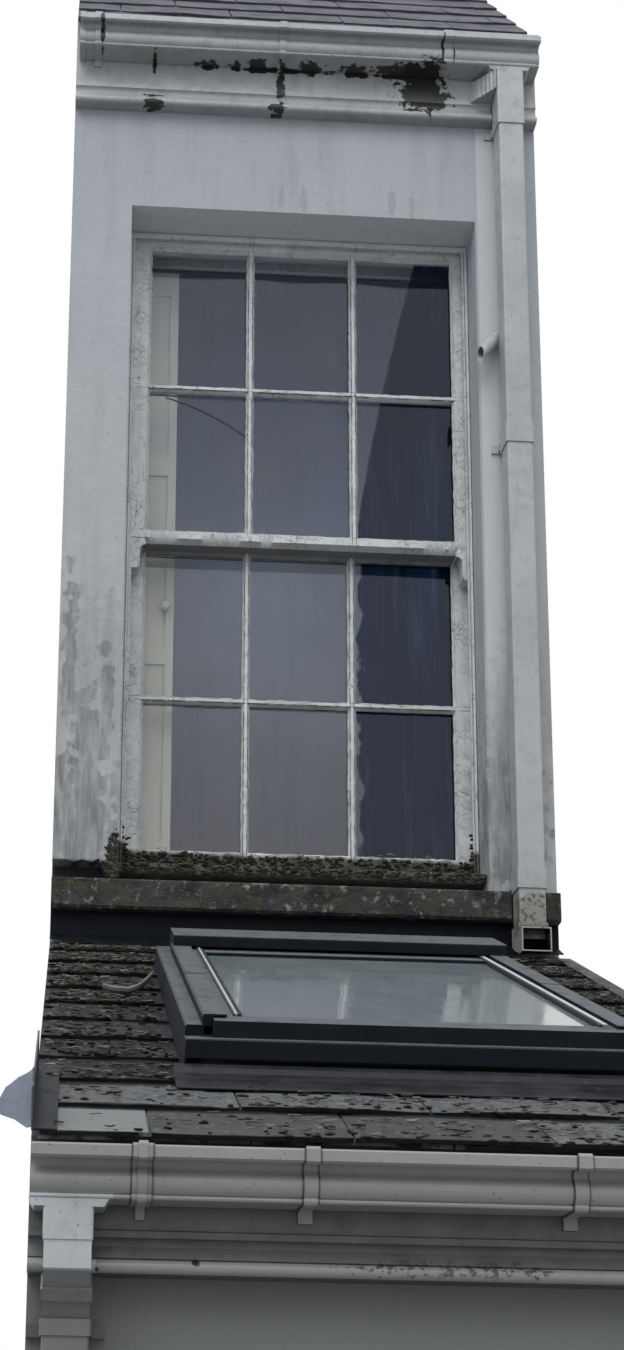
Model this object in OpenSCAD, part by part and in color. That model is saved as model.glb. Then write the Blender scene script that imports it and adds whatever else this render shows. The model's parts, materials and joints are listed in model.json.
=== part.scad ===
// Window bay of a rendered terrace house: a six over six sash window under moulded eaves,
// with a slated lean-to and its roof window below. The origin is the middle of the window wall's foot,
// X runs to the right, the front faces -Y and Z is up. All sizes are in millimetres.

/* [Bay] */
// Width of the bay between its two party faces
bay_w = 1224; // [1200:2:1300]
// Thickness of the rendered window wall
wall_t = 300; // [280:10:340]
// Thickness of the party walls and the lean-to side walls
side_t = 140; // [100:10:140]
// Depth of the room behind the window wall
room_d = 900; // [700:50:1500]
// Thickness of the plain back wall
back_t = 200; // [150:10:300]
// Thickness of the ground floor slabs
ground_slab_t = 120; // [80:10:200]
// Height of the top of the upper floor
upper_floor_z = 2720; // [2600:10:2800]
// Thickness of the upper floor
upper_floor_t = 220; // [150:10:260]

/* [Window opening] */
// Clear width of the reveal
reveal_w = 904; // [880:2:910]
// How far the reveal's middle is from the bay's middle
reveal_x = -4; // [-10:1:10]
// Depth from the wall face to the window frame
reveal_d = 122; // [100:1:130]
// Height of the foot of the opening
opening_foot_z = 3080; // [3070:1:3090]
// Height of the reveal's head
opening_head_z = 4925; // [4900:5:4950]
// How much wider the rebate for the box frame is on each side
rebate_w = 70; // [40:5:75]

/* [Sash window] */
// Width of each sash
sash_w = 888; // [870:2:892]
// Thickness of each sash
sash_t = 44; // [38:1:48]
// Width of a sash stile
stile_w = 42; // [38:1:50]
// Height of the upper sash's top rail
top_rail_h = 46; // [40:1:55]
// Height of the meeting rails
meeting_rail_h = 38; // [34:1:42]
// Height of the lower sash's bottom rail
bottom_rail_h = 72; // [60:1:90]
// Width of a glazing bar
bar_w = 18; // [14:1:24]
// Height of the top of the meeting rails
meeting_z = 4072; // [4050:1:4090]
// Height of the foot of the lower sash
sash_foot_z = 3148; // [3140:1:3155]
// Length of the curved horns under the upper sash
horn_l = 74; // [50:1:85]

/* [Lean-to roof] */
// Horizontal reach of the slates from the wall to the eaves
lean_run = 1790; // [1700:10:1900]
// Height of the slates at the eaves
lean_eaves_z = 2130; // [2050:10:2200]
// Pitch of the lean-to roof in degrees
lean_pitch = 24; // [22:0.5:28]
// Number of slate courses
lean_courses = 11; // [10:1:12]
// Thickness of the rafters and boards
rafter_t = 100; // [80:5:120]
// Thickness of the lean-to front wall
lean_front_t = 200; // [150:10:220]

/* [Roof window] */
// Width over the roof window's covers
rw_w = 780; // [740:10:800]
// Length of the roof window down the slope
rw_l = 1180; // [1000:10:1200]
// Distance from the wall down the slope to the roof window's foot
rw_foot_d = 1550; // [1500:5:1560]
// Sideways place of the roof window's middle
rw_x = 8; // [-20:1:20]
// Height of the outer covers above the boards
rw_cover_h = 89; // [86:1:94]
// Height of the hood above the boards
rw_hood_h = 131; // [128:1:136]
// How many degrees flatter the roof window lies than the slates
rw_tilt = 1.6; // [0.8:0.1:1.8]

/* [Upper roof] */
// Pitch of the upper roof in degrees
upper_pitch = 48; // [42:1:50]
// Height of the slates at the upper eaves
upper_eaves_z = 5424; // [5415:1:5450]
// Gauge of the upper slates down the slope
upper_gauge = 190; // [150:10:220]

/* [Eaves and gutters] */
// How far the slates reach past the fascia into the gutter
slate_overhang = 48; // [30:2:60]
// Thickness of the fascia boards
fascia_t = 24; // [18:1:30]
// Height of the foot of the upper fascia
upper_fascia_z = 5208; // [5190:1:5220]
// Depth of the boxed lower fascia
lower_fascia_t = 50; // [40:2:60]
// Height of the foot of the lower fascia
lower_fascia_z = 1941; // [1920:1:1950]
// Front to back width of the moulded gutters
gutter_d = 90; // [80:1:110]
// Height of the moulded gutters
gutter_h = 72; // [68:1:80]
// Thickness of the gutter wall
gutter_skin = 3; // [2:0.5:4]
// Height of the upper gutter's lip at its left end
upper_gutter_z = 5408; // [5400:1:5412]
// Height of the lower gutter's lip
lower_gutter_z = 2108; // [2095:1:2115]
// How much the upper gutter falls to the right
upper_fall = 1; // [0:1:12]

/* [Pipes] */
// Outside width of the square pipes
pipe_w = 65; // [60:1:70]
// Wall thickness of the square pipes
pipe_skin = 2.5; // [2:0.5:4]
// Corner radius of the square pipes
pipe_r = 6; // [3:1:10]
// Sideways place of the upper downpipe
upper_pipe_x = 529; // [515:1:535]
// Sideways place of the lower downpipe
lower_pipe_x = -557; // [-562:1:-540]
// Gap between the downpipes and the wall
pipe_gap = 25; // [20:1:30]
// Outside diameter of the overflow pipe
overflow_d = 32; // [28:1:36]

/* [Hidden] */
$fn = 48;
cut = 1;

// Planes of the walls
front_y = -wall_t / 2;
inner_y = wall_t / 2;
back_y = inner_y + room_d;
rear_y = back_y + back_t;
ridge_y = (front_y + rear_y) / 2;
half_w = bay_w / 2;

// Lean-to roof: heights are of the boards' top, and the slates lie on it
slate_t = 16;
slate_tail_t = 8;
lean_junction_z = lean_eaves_z - slate_t + lean_run * tan(lean_pitch);
lean_slope_l = lean_run / cos(lean_pitch);
lean_gauge = lean_slope_l / lean_courses;
lean_eaves_y = front_y - lean_run;
lean_fascia_y = lean_eaves_y + slate_overhang;
lean_wall_y = lean_fascia_y + lower_fascia_t;
lean_inner_y = lean_wall_y + lean_front_t;
function lean_z(y) = lean_junction_z + (y - front_y) * tan(lean_pitch);
function under(t, pitch) = t / cos(pitch);

// Upper roof, a ridge over the middle of the room
upper_fascia_y = front_y - fascia_t;
upper_eaves_y = upper_fascia_y - slate_overhang;
upper_rafter_t = 90;
function upper_z(y) = upper_eaves_z - slate_t + (y - upper_eaves_y) * tan(upper_pitch);
ridge_z = upper_z(ridge_y);
rear_fascia_y = rear_y + fascia_t;
upper_slope_l = (ridge_y - upper_eaves_y) / cos(upper_pitch);
upper_courses = ceil(upper_slope_l / upper_gauge);

// Window
frame_y = front_y + reveal_d;
frame_d = 126;
frame_x = 6;
lining_t = 12;
bead_t = 10;
upper_sash_y = frame_y + lining_t + 2;
lower_sash_y = upper_sash_y + sash_t + bead_t;
upper_sash_foot = meeting_z - meeting_rail_h;
sash_head_z = opening_head_z + 12;
pane_w = (sash_w - 2 * stile_w - 2 * bar_w) / 3;
glass_t = 4;
frame_clear_w = sash_w - 8;

// Pipes and gutters
upper_pipe_y = front_y - pipe_gap - pipe_w / 2;
lower_pipe_y = lean_wall_y - 12 - pipe_w / 2;
gutter_base_w = 58;
gutter_gap = 3;
gutter_lip_h = 20;
band_t = 2;
upper_gutter_y = upper_fascia_y - gutter_gap;
lower_gutter_y = lean_fascia_y - gutter_gap;
upper_gutter_x0 = -half_w + 8;
upper_gutter_x1 = half_w - 4;
upper_union_x = 363;
lower_union_x = -458;
lower_gutter_x0 = -half_w + 2;
lower_gutter_x1 = half_w - 4;
socket_grow = 3;
outlet_plate_t = 11;

// Sockets of the upper downpipe and the heights of its ends
pipe_top_z = upper_gutter_z - upper_fall - gutter_h - band_t - outlet_plate_t;
socket_1_z = 5158;
socket_2_z = 4235;
socket_3_z = 3062;
pipe_foot_z = 2936;

// Heights of the joints of the lower neck, under the gutter's outlet
neck_top_z = lower_gutter_z - gutter_h - 56;
neck_bend_z = neck_top_z - 42;
neck_foot_z = neck_bend_z - 62;
lower_clip_h = 23;
sill_foot_z = opening_foot_z - 83;

// Roof window: its head, and the heights of its frame and sash over the boards
rw_head_d = rw_foot_d - rw_l;
rw_frame_h = 72;
rw_sash_h = 101;
rw_outer = rw_w / 2;
rw_glass_head_d = rw_head_d + 226;
rw_glass_foot_d = rw_foot_d - 78;
rw_lap_d = rw_head_d + 610;

render_white = [0.87, 0.87, 0.86];
plastic_white = [0.93, 0.94, 0.94];
slate_grey = [0.36, 0.37, 0.38];
lead_grey = [0.5, 0.51, 0.53];
paint_white = [0.9, 0.89, 0.86];
cover_grey = [0.55, 0.58, 0.62];
timber_brown = [0.62, 0.5, 0.36];

// A point list of an arc from angle a0 to a1
function arc(cx, cy, r, a0, a1, n = 8) =
    [for (i = [0:n]) [cx + r * cos(a0 + (a1 - a0) * i / n), cy + r * sin(a0 + (a1 - a0) * i / n)]];

// A profile drawn as [distance in front of the wall, height], carried along X
module along_x(x0, x1) {
    translate([x0, 0, 0]) rotate([90, 0, 90]) linear_extrude(x1 - x0) children();
}

module slab(x0, x1, y0, y1, z0, z1) {
    translate([x0, y0, z0]) cube([x1 - x0, y1 - y0, z1 - z0]);
}

// Children in the lean-to's slope: -Y runs down the slope and Z is square to the boards
module on_lean() {
    translate([0, front_y, lean_junction_z]) rotate([lean_pitch, 0, 0]) children();
}

module rounded_rect(w, d, r) {
    square([w - 2 * r, d], center = true);
    square([w, d - 2 * r], center = true);
    for (x = [-1, 1], y = [-1, 1]) translate([x * (w / 2 - r), y * (d / 2 - r)]) circle(r, $fn = 24);
}

module square_tube(h, w = pipe_w, skin = pipe_skin) {
    linear_extrude(h) difference() {
        rounded_rect(w, w, pipe_r);
        rounded_rect(w - 2 * skin, w - 2 * skin, pipe_r - skin + 1);
    }
}

// Walls and floors

module window_wall() {
    color(render_white) difference() {
        along_x(-half_w, half_w) polygon([
            [front_y, 0], [inner_y, 0],
            [inner_y, upper_z(inner_y) - under(upper_rafter_t, upper_pitch)],
            [front_y, upper_z(front_y) - under(upper_rafter_t, upper_pitch)]
        ]);
        slab(reveal_x - reveal_w / 2, reveal_x + reveal_w / 2, front_y - cut, inner_y + cut,
            opening_foot_z, opening_head_z);
        slab(frame_x - reveal_w / 2 - rebate_w, frame_x + reveal_w / 2 + rebate_w, frame_y, inner_y + cut,
            opening_foot_z, opening_head_z + 45);
        translate([0, front_y + 45, opening_foot_z]) rotate([90, 0, 0]) linear_extrude(50) broken_patch();
    }
}

// Render broken away over the left end of the sill course
module broken_patch() {
    left = -half_w - cut;
    polygon([
        [left, 0], [-480, 0], [-484, 11], [-493, 31], [-500, 51], [-517, 41], [-540, 47], [-559, 40], [-580, 46], [left, 45]
    ]);
}

// The party walls close the room's sides and follow the roof up to the ridge
module party_wall(x0) {
    color(render_white) along_x(x0, x0 + side_t) polygon([
        [inner_y, 0], [back_y, 0],
        [back_y, upper_z(2 * ridge_y - back_y) - under(upper_rafter_t, upper_pitch)],
        [ridge_y, ridge_z - under(upper_rafter_t, upper_pitch)],
        [inner_y, upper_z(inner_y) - under(upper_rafter_t, upper_pitch)]
    ]);
}

module left_party_wall() {
    party_wall(-half_w);
}

module right_party_wall() {
    party_wall(half_w - side_t);
}

module back_wall() {
    color(render_white) along_x(-half_w, half_w) polygon([
        [back_y, 0], [rear_y, 0],
        [rear_y, upper_z(2 * ridge_y - rear_y) - under(upper_rafter_t, upper_pitch)],
        [back_y, upper_z(2 * ridge_y - back_y) - under(upper_rafter_t, upper_pitch)]
    ]);
}

module ground_floor() {
    color([0.6, 0.6, 0.58]) {
        slab(-half_w + side_t, half_w - side_t, inner_y, back_y, 0, ground_slab_t);
        slab(-half_w + side_t, half_w - side_t, lean_inner_y, front_y, 0, ground_slab_t);
    }
}

module upper_floor() {
    color(timber_brown)
        slab(-half_w + side_t, half_w - side_t, inner_y, back_y, upper_floor_z - upper_floor_t, upper_floor_z);
}

module lean_to_front_wall() {
    color(render_white) along_x(-half_w, half_w) polygon([
        [lean_wall_y, 0], [lean_inner_y, 0],
        [lean_inner_y, lean_z(lean_inner_y) - under(rafter_t, lean_pitch)],
        [lean_wall_y, lean_z(lean_wall_y) - under(rafter_t, lean_pitch)]
    ]);
}

module lean_to_side_wall(x0) {
    color(render_white) along_x(x0, x0 + side_t) polygon([
        [lean_inner_y, 0], [front_y, 0],
        [front_y, lean_z(front_y) - under(rafter_t, lean_pitch)],
        [lean_inner_y, lean_z(lean_inner_y) - under(rafter_t, lean_pitch)]
    ]);
}

module lean_to_left_wall() {
    lean_to_side_wall(-half_w);
}

module lean_to_right_wall() {
    lean_to_side_wall(half_w - side_t);
}

// Sash window

// The box frame sits in the rebate behind the reveal, with a lining in front and a bead between the sashes
module window_frame() {
    box_w = (reveal_w + 2 * rebate_w) / 2 - 2;
    color(paint_white) difference() {
        slab(frame_x - box_w, frame_x + box_w, frame_y, frame_y + frame_d, sash_foot_z, opening_head_z + 43);
        slab(frame_x - frame_clear_w / 2, frame_x + frame_clear_w / 2, frame_y - cut, frame_y + frame_d + cut,
            sash_foot_z - cut, opening_head_z - 10);
        for (y = [upper_sash_y - 1, lower_sash_y - 1])
            slab(frame_x - sash_w / 2 - 1, frame_x + sash_w / 2 + 1, y, y + sash_t + 2,
                sash_foot_z - cut, sash_head_z + 1);
    }
}

module timber_sill() {
    box_w = (reveal_w + 2 * rebate_w) / 2 - 2;
    nose_y = front_y + 38;
    color(paint_white) {
        along_x(frame_x - box_w, frame_x + box_w) polygon([
            [frame_y + 1, opening_foot_z + 34], [inner_y - 4, opening_foot_z + 34],
            [inner_y - 4, sash_foot_z], [frame_y + 1, sash_foot_z - 1]
        ]);
        along_x(reveal_x - reveal_w / 2 + 1, reveal_x + reveal_w / 2 - 1) polygon([
            [nose_y, opening_foot_z + 30], [nose_y + 12, opening_foot_z + 30],
            [nose_y + 12, opening_foot_z + 36], [nose_y + 20, opening_foot_z + 36],
            [nose_y + 20, opening_foot_z + 30], [frame_y + 2, opening_foot_z + 30],
            [frame_y + 2, sash_foot_z - 1], [nose_y + 2, sash_foot_z - 12], [nose_y, sash_foot_z - 15]
        ]);
    }
}

// One sash: stiles, rails, two upright bars and a bar across, cut through for six panes
module sash(y, foot, head, foot_rail, head_rail) {
    bead_y = 12;
    pane_h = (head - foot - foot_rail - head_rail - bar_w) / 2;
    color(paint_white) difference() {
        slab(frame_x - sash_w / 2, frame_x + sash_w / 2, y, y + sash_t, foot, head);
        for (i = [0:2], j = [0:1]) {
            x = frame_x - sash_w / 2 + stile_w + i * (pane_w + bar_w);
            z = foot + foot_rail + j * (pane_h + bar_w);
            slab(x, x + pane_w, y - cut, y + sash_t + cut, z, z + pane_h);
            slab(x - 5, x + pane_w + 5, y - cut, y + bead_y, z - 5, z + pane_h + 5);
        }
    }
}

module horn(x, side) {
    horn_w = stile_w - 2;
    color(paint_white)
        translate([x, upper_sash_y, upper_sash_foot])
            mirror([side < 0 ? 1 : 0, 0, 0])
                rotate([90, 0, 0]) translate([0, 0, -sash_t]) linear_extrude(sash_t)
                    polygon(concat(
                        [[0, 1], [0, -horn_l]],
                        arc(14, -horn_l + 12, 12, -90, 0, 6),
                        arc(horn_w, -22, horn_w - 26, 180, 90, 6),
                        [[horn_w, 1]]
                    ));
}

module upper_sash() {
    sash(upper_sash_y, upper_sash_foot, sash_head_z, meeting_rail_h, top_rail_h);
    horn(frame_x - sash_w / 2, 1);
    horn(frame_x + sash_w / 2, -1);
}

module lower_sash() {
    sash(lower_sash_y, sash_foot_z, meeting_z, bottom_rail_h, meeting_rail_h);
}

module sash_glass() {
    color([0.6, 0.7, 0.78, 0.5])
        for (s = [
            [upper_sash_y, upper_sash_foot, sash_head_z, meeting_rail_h, top_rail_h],
            [lower_sash_y, sash_foot_z, meeting_z, bottom_rail_h, meeting_rail_h]
        ], i = [0:2], j = [0:1]) {
            pane_h = (s[2] - s[1] - s[3] - s[4] - bar_w) / 2;
            x = frame_x - sash_w / 2 + stile_w + i * (pane_w + bar_w);
            z = s[1] + s[3] + j * (pane_h + bar_w);
            slab(x, x + pane_w, s[0] + 12, s[0] + 12 + glass_t, z, z + pane_h);
        }
}

// The inner board ends flush with the linings of the room
module window_board() {
    color(paint_white)
        slab(frame_x - frame_clear_w / 2, frame_x + frame_clear_w / 2, frame_y + frame_d, inner_y + 60,
            sash_foot_z + 46, sash_foot_z + 70);
}

// A folded shutter leaf beside the window, with sunk panels and a turned knob
module shutter(x0, x1, knob_x, knob_z) {
    leaf_t = 28;
    y0 = frame_y + frame_d + 4;
    z0 = sash_foot_z + 72;
    z1 = opening_head_z - 20;
    color(paint_white) {
        difference() {
            slab(x0, x1, y0, y0 + leaf_t, z0, z1);
            for (k = [0:2]) {
                step = (z1 - z0 - 60) / 3;
                slab(x0 + 22, x1 - 22, y0 - cut, y0 + 7, z0 + 50 + k * step, z0 + k * step + step - 10);
            }
        }
        translate([knob_x, y0 + 1, knob_z]) rotate([90, 0, 0]) rotate_extrude()
            polygon([[0, 0], [9, 0], [6, 6], [6, 9], [13, 14], [14, 20], [9, 25], [0, 26]]);
    }
}

module left_shutter() {
    shutter(frame_x - sash_w / 2 + 2, frame_x - sash_w / 2 + 122, frame_x - sash_w / 2 + 100, 3912);
}

module right_shutter() {
    shutter(frame_x + sash_w / 2 - 62, frame_x + sash_w / 2 - 2, frame_x + sash_w / 2 - 44, 3912);
}

module sill_course() {
    proud = 34;
    foot = sill_foot_z;
    color([0.5, 0.5, 0.44]) difference() {
        along_x(-half_w, half_w) polygon(concat(
            [[front_y, foot], [front_y, opening_foot_z]],
            arc(front_y - proud + 8, opening_foot_z - 16, 8, 90, 180, 6),
            [[front_y - proud, foot + 6], [front_y - proud + 6, foot]]
        ));
        translate([upper_pipe_x, upper_pipe_y, foot - cut])
            linear_extrude(120) square([pipe_w + 10, pipe_w + 10], center = true);
    }
}

// Lead turned down from the sill course over the head of the slates
module abutment_flashing() {
    lead_t = 3;
    apron_l = 44;
    foot = sill_foot_z;
    base = slate_t + 3;
    top_z = lean_junction_z + under(base, lean_pitch);
    color(lead_grey) along_x(-half_w, half_w) polygon([
        [front_y, top_z + 6], [front_y, foot], [front_y - lead_t, foot],
        [front_y - lead_t, top_z + 6],
        [front_y - apron_l, top_z - apron_l * tan(lean_pitch) + lead_t],
        [front_y - apron_l, top_z - apron_l * tan(lean_pitch)],
        [front_y - 8, top_z - 8 * tan(lean_pitch)], [front_y, top_z]
    ]);
}

// The stub leaves the wall behind the downpipe and turns down to the left, with an open end
module overflow_pipe() {
    root = [492, front_y - 10, 4573];
    tip = [442, front_y - 55, 4499];
    reach = tip - root;
    run = norm(reach);
    azim = atan2(reach[1], reach[0]);
    tilt = acos(reach[2] / run);
    color(plastic_white) difference() {
        union() {
            translate(root) rotate([0, tilt, azim]) cylinder(h = run + 20, d = overflow_d);
            translate(root) sphere(d = overflow_d + 3);
            translate([root[0], front_y, root[2]]) rotate([90, 0, 0]) cylinder(h = 10, d = overflow_d);
        }
        translate(root) rotate([0, tilt, azim]) cylinder(h = run + 20 + cut, d = overflow_d - 5);
        translate(tip) rotate([0, 0, 20]) translate([-60, -60, -60]) cube([60, 120, 120]);
    }
}

// Upper roof

// A gabled outline, the given thickness under the line of the boards
module gable(y0, y1, top, thick) {
    polygon([
        [y0, upper_z(y0) + top], [ridge_y, ridge_z + top], [y1, upper_z(2 * ridge_y - y1) + top],
        [y1, upper_z(2 * ridge_y - y1) + top - thick], [ridge_y, ridge_z + top - thick],
        [y0, upper_z(y0) + top - thick]
    ]);
}

module upper_roof() {
    color(timber_brown) along_x(-half_w, half_w)
        gable(front_y, rear_y, 0, under(upper_rafter_t, upper_pitch));
}

// Courses of slates, thin at the head and two slates thick at the tail
module slate_steps(length, gauge, courses) {
    polygon(concat(
        [[0, 0]],
        [for (i = [0:courses - 1]) each [
            [-i * gauge, slate_tail_t - 4],
            [-min((i + 1) * gauge, length), slate_t]
        ]],
        [[-length, 0]]
    ));
}

module upper_slope() {
    translate([0, ridge_y, ridge_z]) rotate([upper_pitch, 0, 0]) along_x(-half_w, half_w)
        slate_steps(upper_slope_l, upper_slope_l / upper_courses, upper_courses);
}

module upper_slates() {
    color(slate_grey) {
        upper_slope();
        translate([0, 2 * ridge_y, 0]) mirror([0, 1, 0]) upper_slope();
    }
}

module ridge() {
    wing = 130;
    base = slate_t + 2;
    color([0.45, 0.4, 0.36]) along_x(-half_w, half_w) {
        for (side = [0, 1]) translate([ridge_y, ridge_z]) mirror([side, 0])
            rotate(upper_pitch) translate([-wing, 0]) square([wing + 8, 12]);
        translate([ridge_y, ridge_z + 2]) circle(22);
    }
}

// The front fascia has a moulded foot: a fillet, a hollow and a round bead
function moulded_foot(y, z) = concat(
    [[y, z + 62], [y - 3, z + 60], [y - 3, z + 52]],
    arc(y - 3 - 6, z + 52 - 13, 13, 62, 0, 5),
    [[y - 3, z + 22]],
    arc(y - 3, z + 10, 10, 80, 270, 10)
);

module upper_fascia() {
    top = upper_z(upper_fascia_y) - 4;
    color(plastic_white) difference() {
        along_x(-half_w, half_w) polygon(concat(
            [[front_y, upper_fascia_z], [front_y, top + 18], [upper_fascia_y, top]],
            moulded_foot(upper_fascia_y, upper_fascia_z)
        ));
        slab(upper_pipe_x - 37, upper_pipe_x + 37, upper_fascia_y - 40, front_y - 11, upper_fascia_z - cut, pipe_top_z);
    }
}

module rear_fascia() {
    top = upper_z(upper_fascia_y) - 4;
    color(plastic_white) along_x(-half_w, half_w) polygon([
        [rear_y, upper_fascia_z], [rear_y, top + 18], [rear_fascia_y, top], [rear_fascia_y, upper_fascia_z]
    ]);
}

module lower_fascia() {
    color(plastic_white) along_x(-half_w, half_w) polygon(concat(
        [[lean_wall_y, lower_fascia_z], [lean_wall_y, lean_z(lean_wall_y) - 3], [lean_fascia_y, lean_z(lean_fascia_y) - 3]],
        moulded_foot(lean_fascia_y, lower_fascia_z)
    ));
}

// Gutters

// Angle from the line between the foot's two arc centres to where arcs of radius r and other_r meet
function crease_turn(r, other_r) =
    acos(min(1, (r * r + 20.5 * 20.5 + 10 * 10 - other_r * other_r) / (2 * r * norm([10, 20.5]))));

// The moulded gutter's outline from the back edge round to the lip, grown outwards by g
function gutter_outer(g = 0) = concat(
    [[0, gutter_h - 10], [0, -g], [gutter_base_w, -g]],
    arc(gutter_base_w, 3.5, 3.5 + g, -90, 114 - crease_turn(3.5 + g, 20 + g), 4),
    arc(gutter_base_w - 10, 24, 20 + g, crease_turn(20 + g, 3.5 + g) - 64, 45, 8),
    arc(gutter_base_w + 12, 46, 11 - g, 225, 105, 7),
    [[gutter_d - 4 + g / 2, gutter_h - gutter_lip_h - g / 2], [gutter_d + g, gutter_h - gutter_lip_h + 3 - g / 2],
     [gutter_d + g, gutter_h - 3 + g / 2], [gutter_d - 3 + g / 2, gutter_h + g]]
);

function gutter_inner() = concat(
    [[gutter_d - 3 - gutter_skin, gutter_h], [gutter_d - 3 - gutter_skin, gutter_h - gutter_lip_h + 6]],
    arc(gutter_base_w + 12, 46, 11 + gutter_skin, 112, 225, 7),
    arc(gutter_base_w - 10, 24, 20 - gutter_skin, 45, -62, 8),
    [[gutter_base_w - 4, gutter_skin], [gutter_skin, gutter_skin], [gutter_skin, gutter_h - 10]]
);

// A gutter section drawn forwards from the fascia: distances count towards -Y
module forwards(y, lip_z) {
    translate([0, y, lip_z - gutter_h]) mirror([0, 1, 0]) children();
}

module gutter_length(x0, x1) {
    along_x(x0, x1) polygon(concat(gutter_outer(), gutter_inner()));
    for (x = [x0, x1 - gutter_skin]) along_x(x, x + gutter_skin) polygon(gutter_outer());
}

// A strip that follows the gutter's outline from under its base up over its lip
function gutter_strip(inside, outside) = concat(
    [for (i = [2:len(gutter_outer()) - 1]) gutter_outer(outside)[i]],
    [for (i = [len(gutter_outer()) - 1:-1:2]) gutter_outer(inside)[i]]
);

// A union, or the body of a running outlet: the gutter wall a little thicker outside
module gutter_band(x0, x1) {
    along_x(x0, x1) polygon(concat([[1, -1], [1, -band_t]], gutter_strip(-1, band_t), [[1, 1]]));
}

module upper_gutter() {
    tilt = atan(upper_fall / (upper_gutter_x1 - upper_gutter_x0));
    color(plastic_white) difference() {
        translate([upper_gutter_x0, 0, upper_gutter_z]) rotate([0, tilt, 0]) forwards(upper_gutter_y, 0) {
            gutter_length(0, upper_gutter_x1 - upper_gutter_x0);
            gutter_band(0, 14);
            gutter_band(upper_union_x - upper_gutter_x0 + 12, upper_gutter_x1 - upper_gutter_x0 - 8);
        }
        translate([upper_pipe_x, outlet_y(upper_gutter_y), upper_gutter_z - gutter_h - 20])
            cylinder(h = 40, d = 46);
    }
}

function outlet_y(gutter_y) = gutter_y - gutter_base_w / 2 - 2;

module lower_gutter() {
    color(plastic_white) difference() {
        forwards(lower_gutter_y, lower_gutter_z) {
            gutter_length(lower_gutter_x0, lower_gutter_x1);
            gutter_band(lower_union_x - 15, lower_union_x + 15);
        }
        translate([lower_pipe_x, outlet_y(lower_gutter_y), lower_gutter_z - gutter_h - 20])
            cylinder(h = 40, d = 46);
    }
}

// A strap from the fascia, under the gutter's base and up over its lip, round a wall that is g thicker
module gutter_bracket(x, w, g = 0) {
    along_x(x - w / 2, x + w / 2) polygon(concat(
        [[0, gutter_h - 12], [-gutter_gap, gutter_h - 12], [-gutter_gap, -20], [3, -20], [3, -g - 3]],
        gutter_strip(g, g + 3), [[0, -g]]
    ));
}

module upper_gutter_brackets() {
    color(plastic_white) for (x = [-556, -72, upper_union_x])
        forwards(upper_gutter_y, upper_gutter_z - upper_fall * (x - upper_gutter_x0) / bay_w)
            gutter_bracket(x, x == upper_union_x ? 24 : 18);
}

module lower_gutter_brackets() {
    color(plastic_white) {
        for (x = [-227, 147, 521]) forwards(lower_gutter_y, lower_gutter_z) gutter_bracket(x, 20);
        forwards(lower_gutter_y, lower_gutter_z) gutter_bracket(lower_union_x, 13, band_t);
    }
}

// The outlet: a bevelled plate under the gutter and a spigot of the given width and depth
module gutter_outlet(x, y, base_z, w, d, foot_z) {
    translate([x, y, 0]) difference() {
        union() {
            translate([0, gutter_base_w / 2, 0]) rotate([90, 0, 0]) linear_extrude(gutter_base_w) polygon([
                [-55, base_z], [55, base_z], [48, base_z - outlet_plate_t], [-48, base_z - outlet_plate_t]
            ]);
            translate([0, 0, foot_z]) linear_extrude(base_z - 3 - foot_z) rounded_rect(w, d, 5);
        }
        translate([0, 0, foot_z - cut]) linear_extrude(base_z - foot_z + 2 * cut) rounded_rect(w - 6, d - 6, 4);
    }
}

module upper_gutter_outlet() {
    color(plastic_white) gutter_outlet(upper_pipe_x, outlet_y(upper_gutter_y), pipe_top_z + outlet_plate_t,
        pipe_w - 7, gutter_base_w - 2, pipe_top_z - 24);
}

module lower_gutter_outlet() {
    color(plastic_white) gutter_outlet(lower_pipe_x, outlet_y(lower_gutter_y), lower_gutter_z - gutter_h,
        pipe_w + 4, gutter_base_w, neck_top_z);
}

// Pipes

// A socket round the foot of a pipe length
module socket(z, h = 54) {
    translate([0, 0, z]) square_tube(h, pipe_w + 2 * socket_grow, socket_grow + 0.5);
}

// The boxed corner where the fascia turns out towards the wing, with shallow upright ribs
module eaves_corner() {
    foot = 5264;
    start = [433, upper_fascia_y];
    end = [492, upper_fascia_y - 69];
    ribs = 9;
    inward = [1.4, 1.4];
    color(plastic_white) translate([0, 0, foot]) linear_extrude(pipe_top_z - 1 - foot) polygon(concat(
        [[end[0], upper_fascia_y]],
        [start, start + (end - start) * 0.3],
        [for (i = [0:ribs - 1]) start + (end - start) * (0.36 + 0.64 * i / ribs) + inward * (i % 2)],
        [end]
    ));
}

module upper_downpipe() {
    color(plastic_white) translate([upper_pipe_x, upper_pipe_y, 0]) {
        translate([0, 0, pipe_foot_z]) square_tube(pipe_top_z - pipe_foot_z);
        for (z = [socket_2_z, socket_3_z]) socket(z);
        socket(socket_1_z, pipe_top_z - socket_1_z - 4);
    }
}

// The shoe turns the foot of the pipe forwards over the slates
module downpipe_shoe() {
    w = pipe_w + 6;
    side = w / 2;
    color(plastic_white) translate([upper_pipe_x, upper_pipe_y, pipe_foot_z]) difference() {
        translate([-w / 2, 0, 0]) rotate([90, 0, 90]) linear_extrude(w) polygon([
            [side, 40], [-side, 40], [-side, 27], [-60, 22], [-62, 21], [-62, -38], [-38, -38], [0, -23],
            [20, -13], [side, -3]
        ]);
        translate([-w / 2 + 3, 0, 0]) rotate([90, 0, 90]) linear_extrude(w - 6) polygon([
            [side - 3, 41], [-side + 3, 41], [-side + 3, 24], [-63, 18], [-63, -35], [-38, -35], [0, -20],
            [19, -10], [side - 3, -1]
        ]);
    }
}

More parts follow.
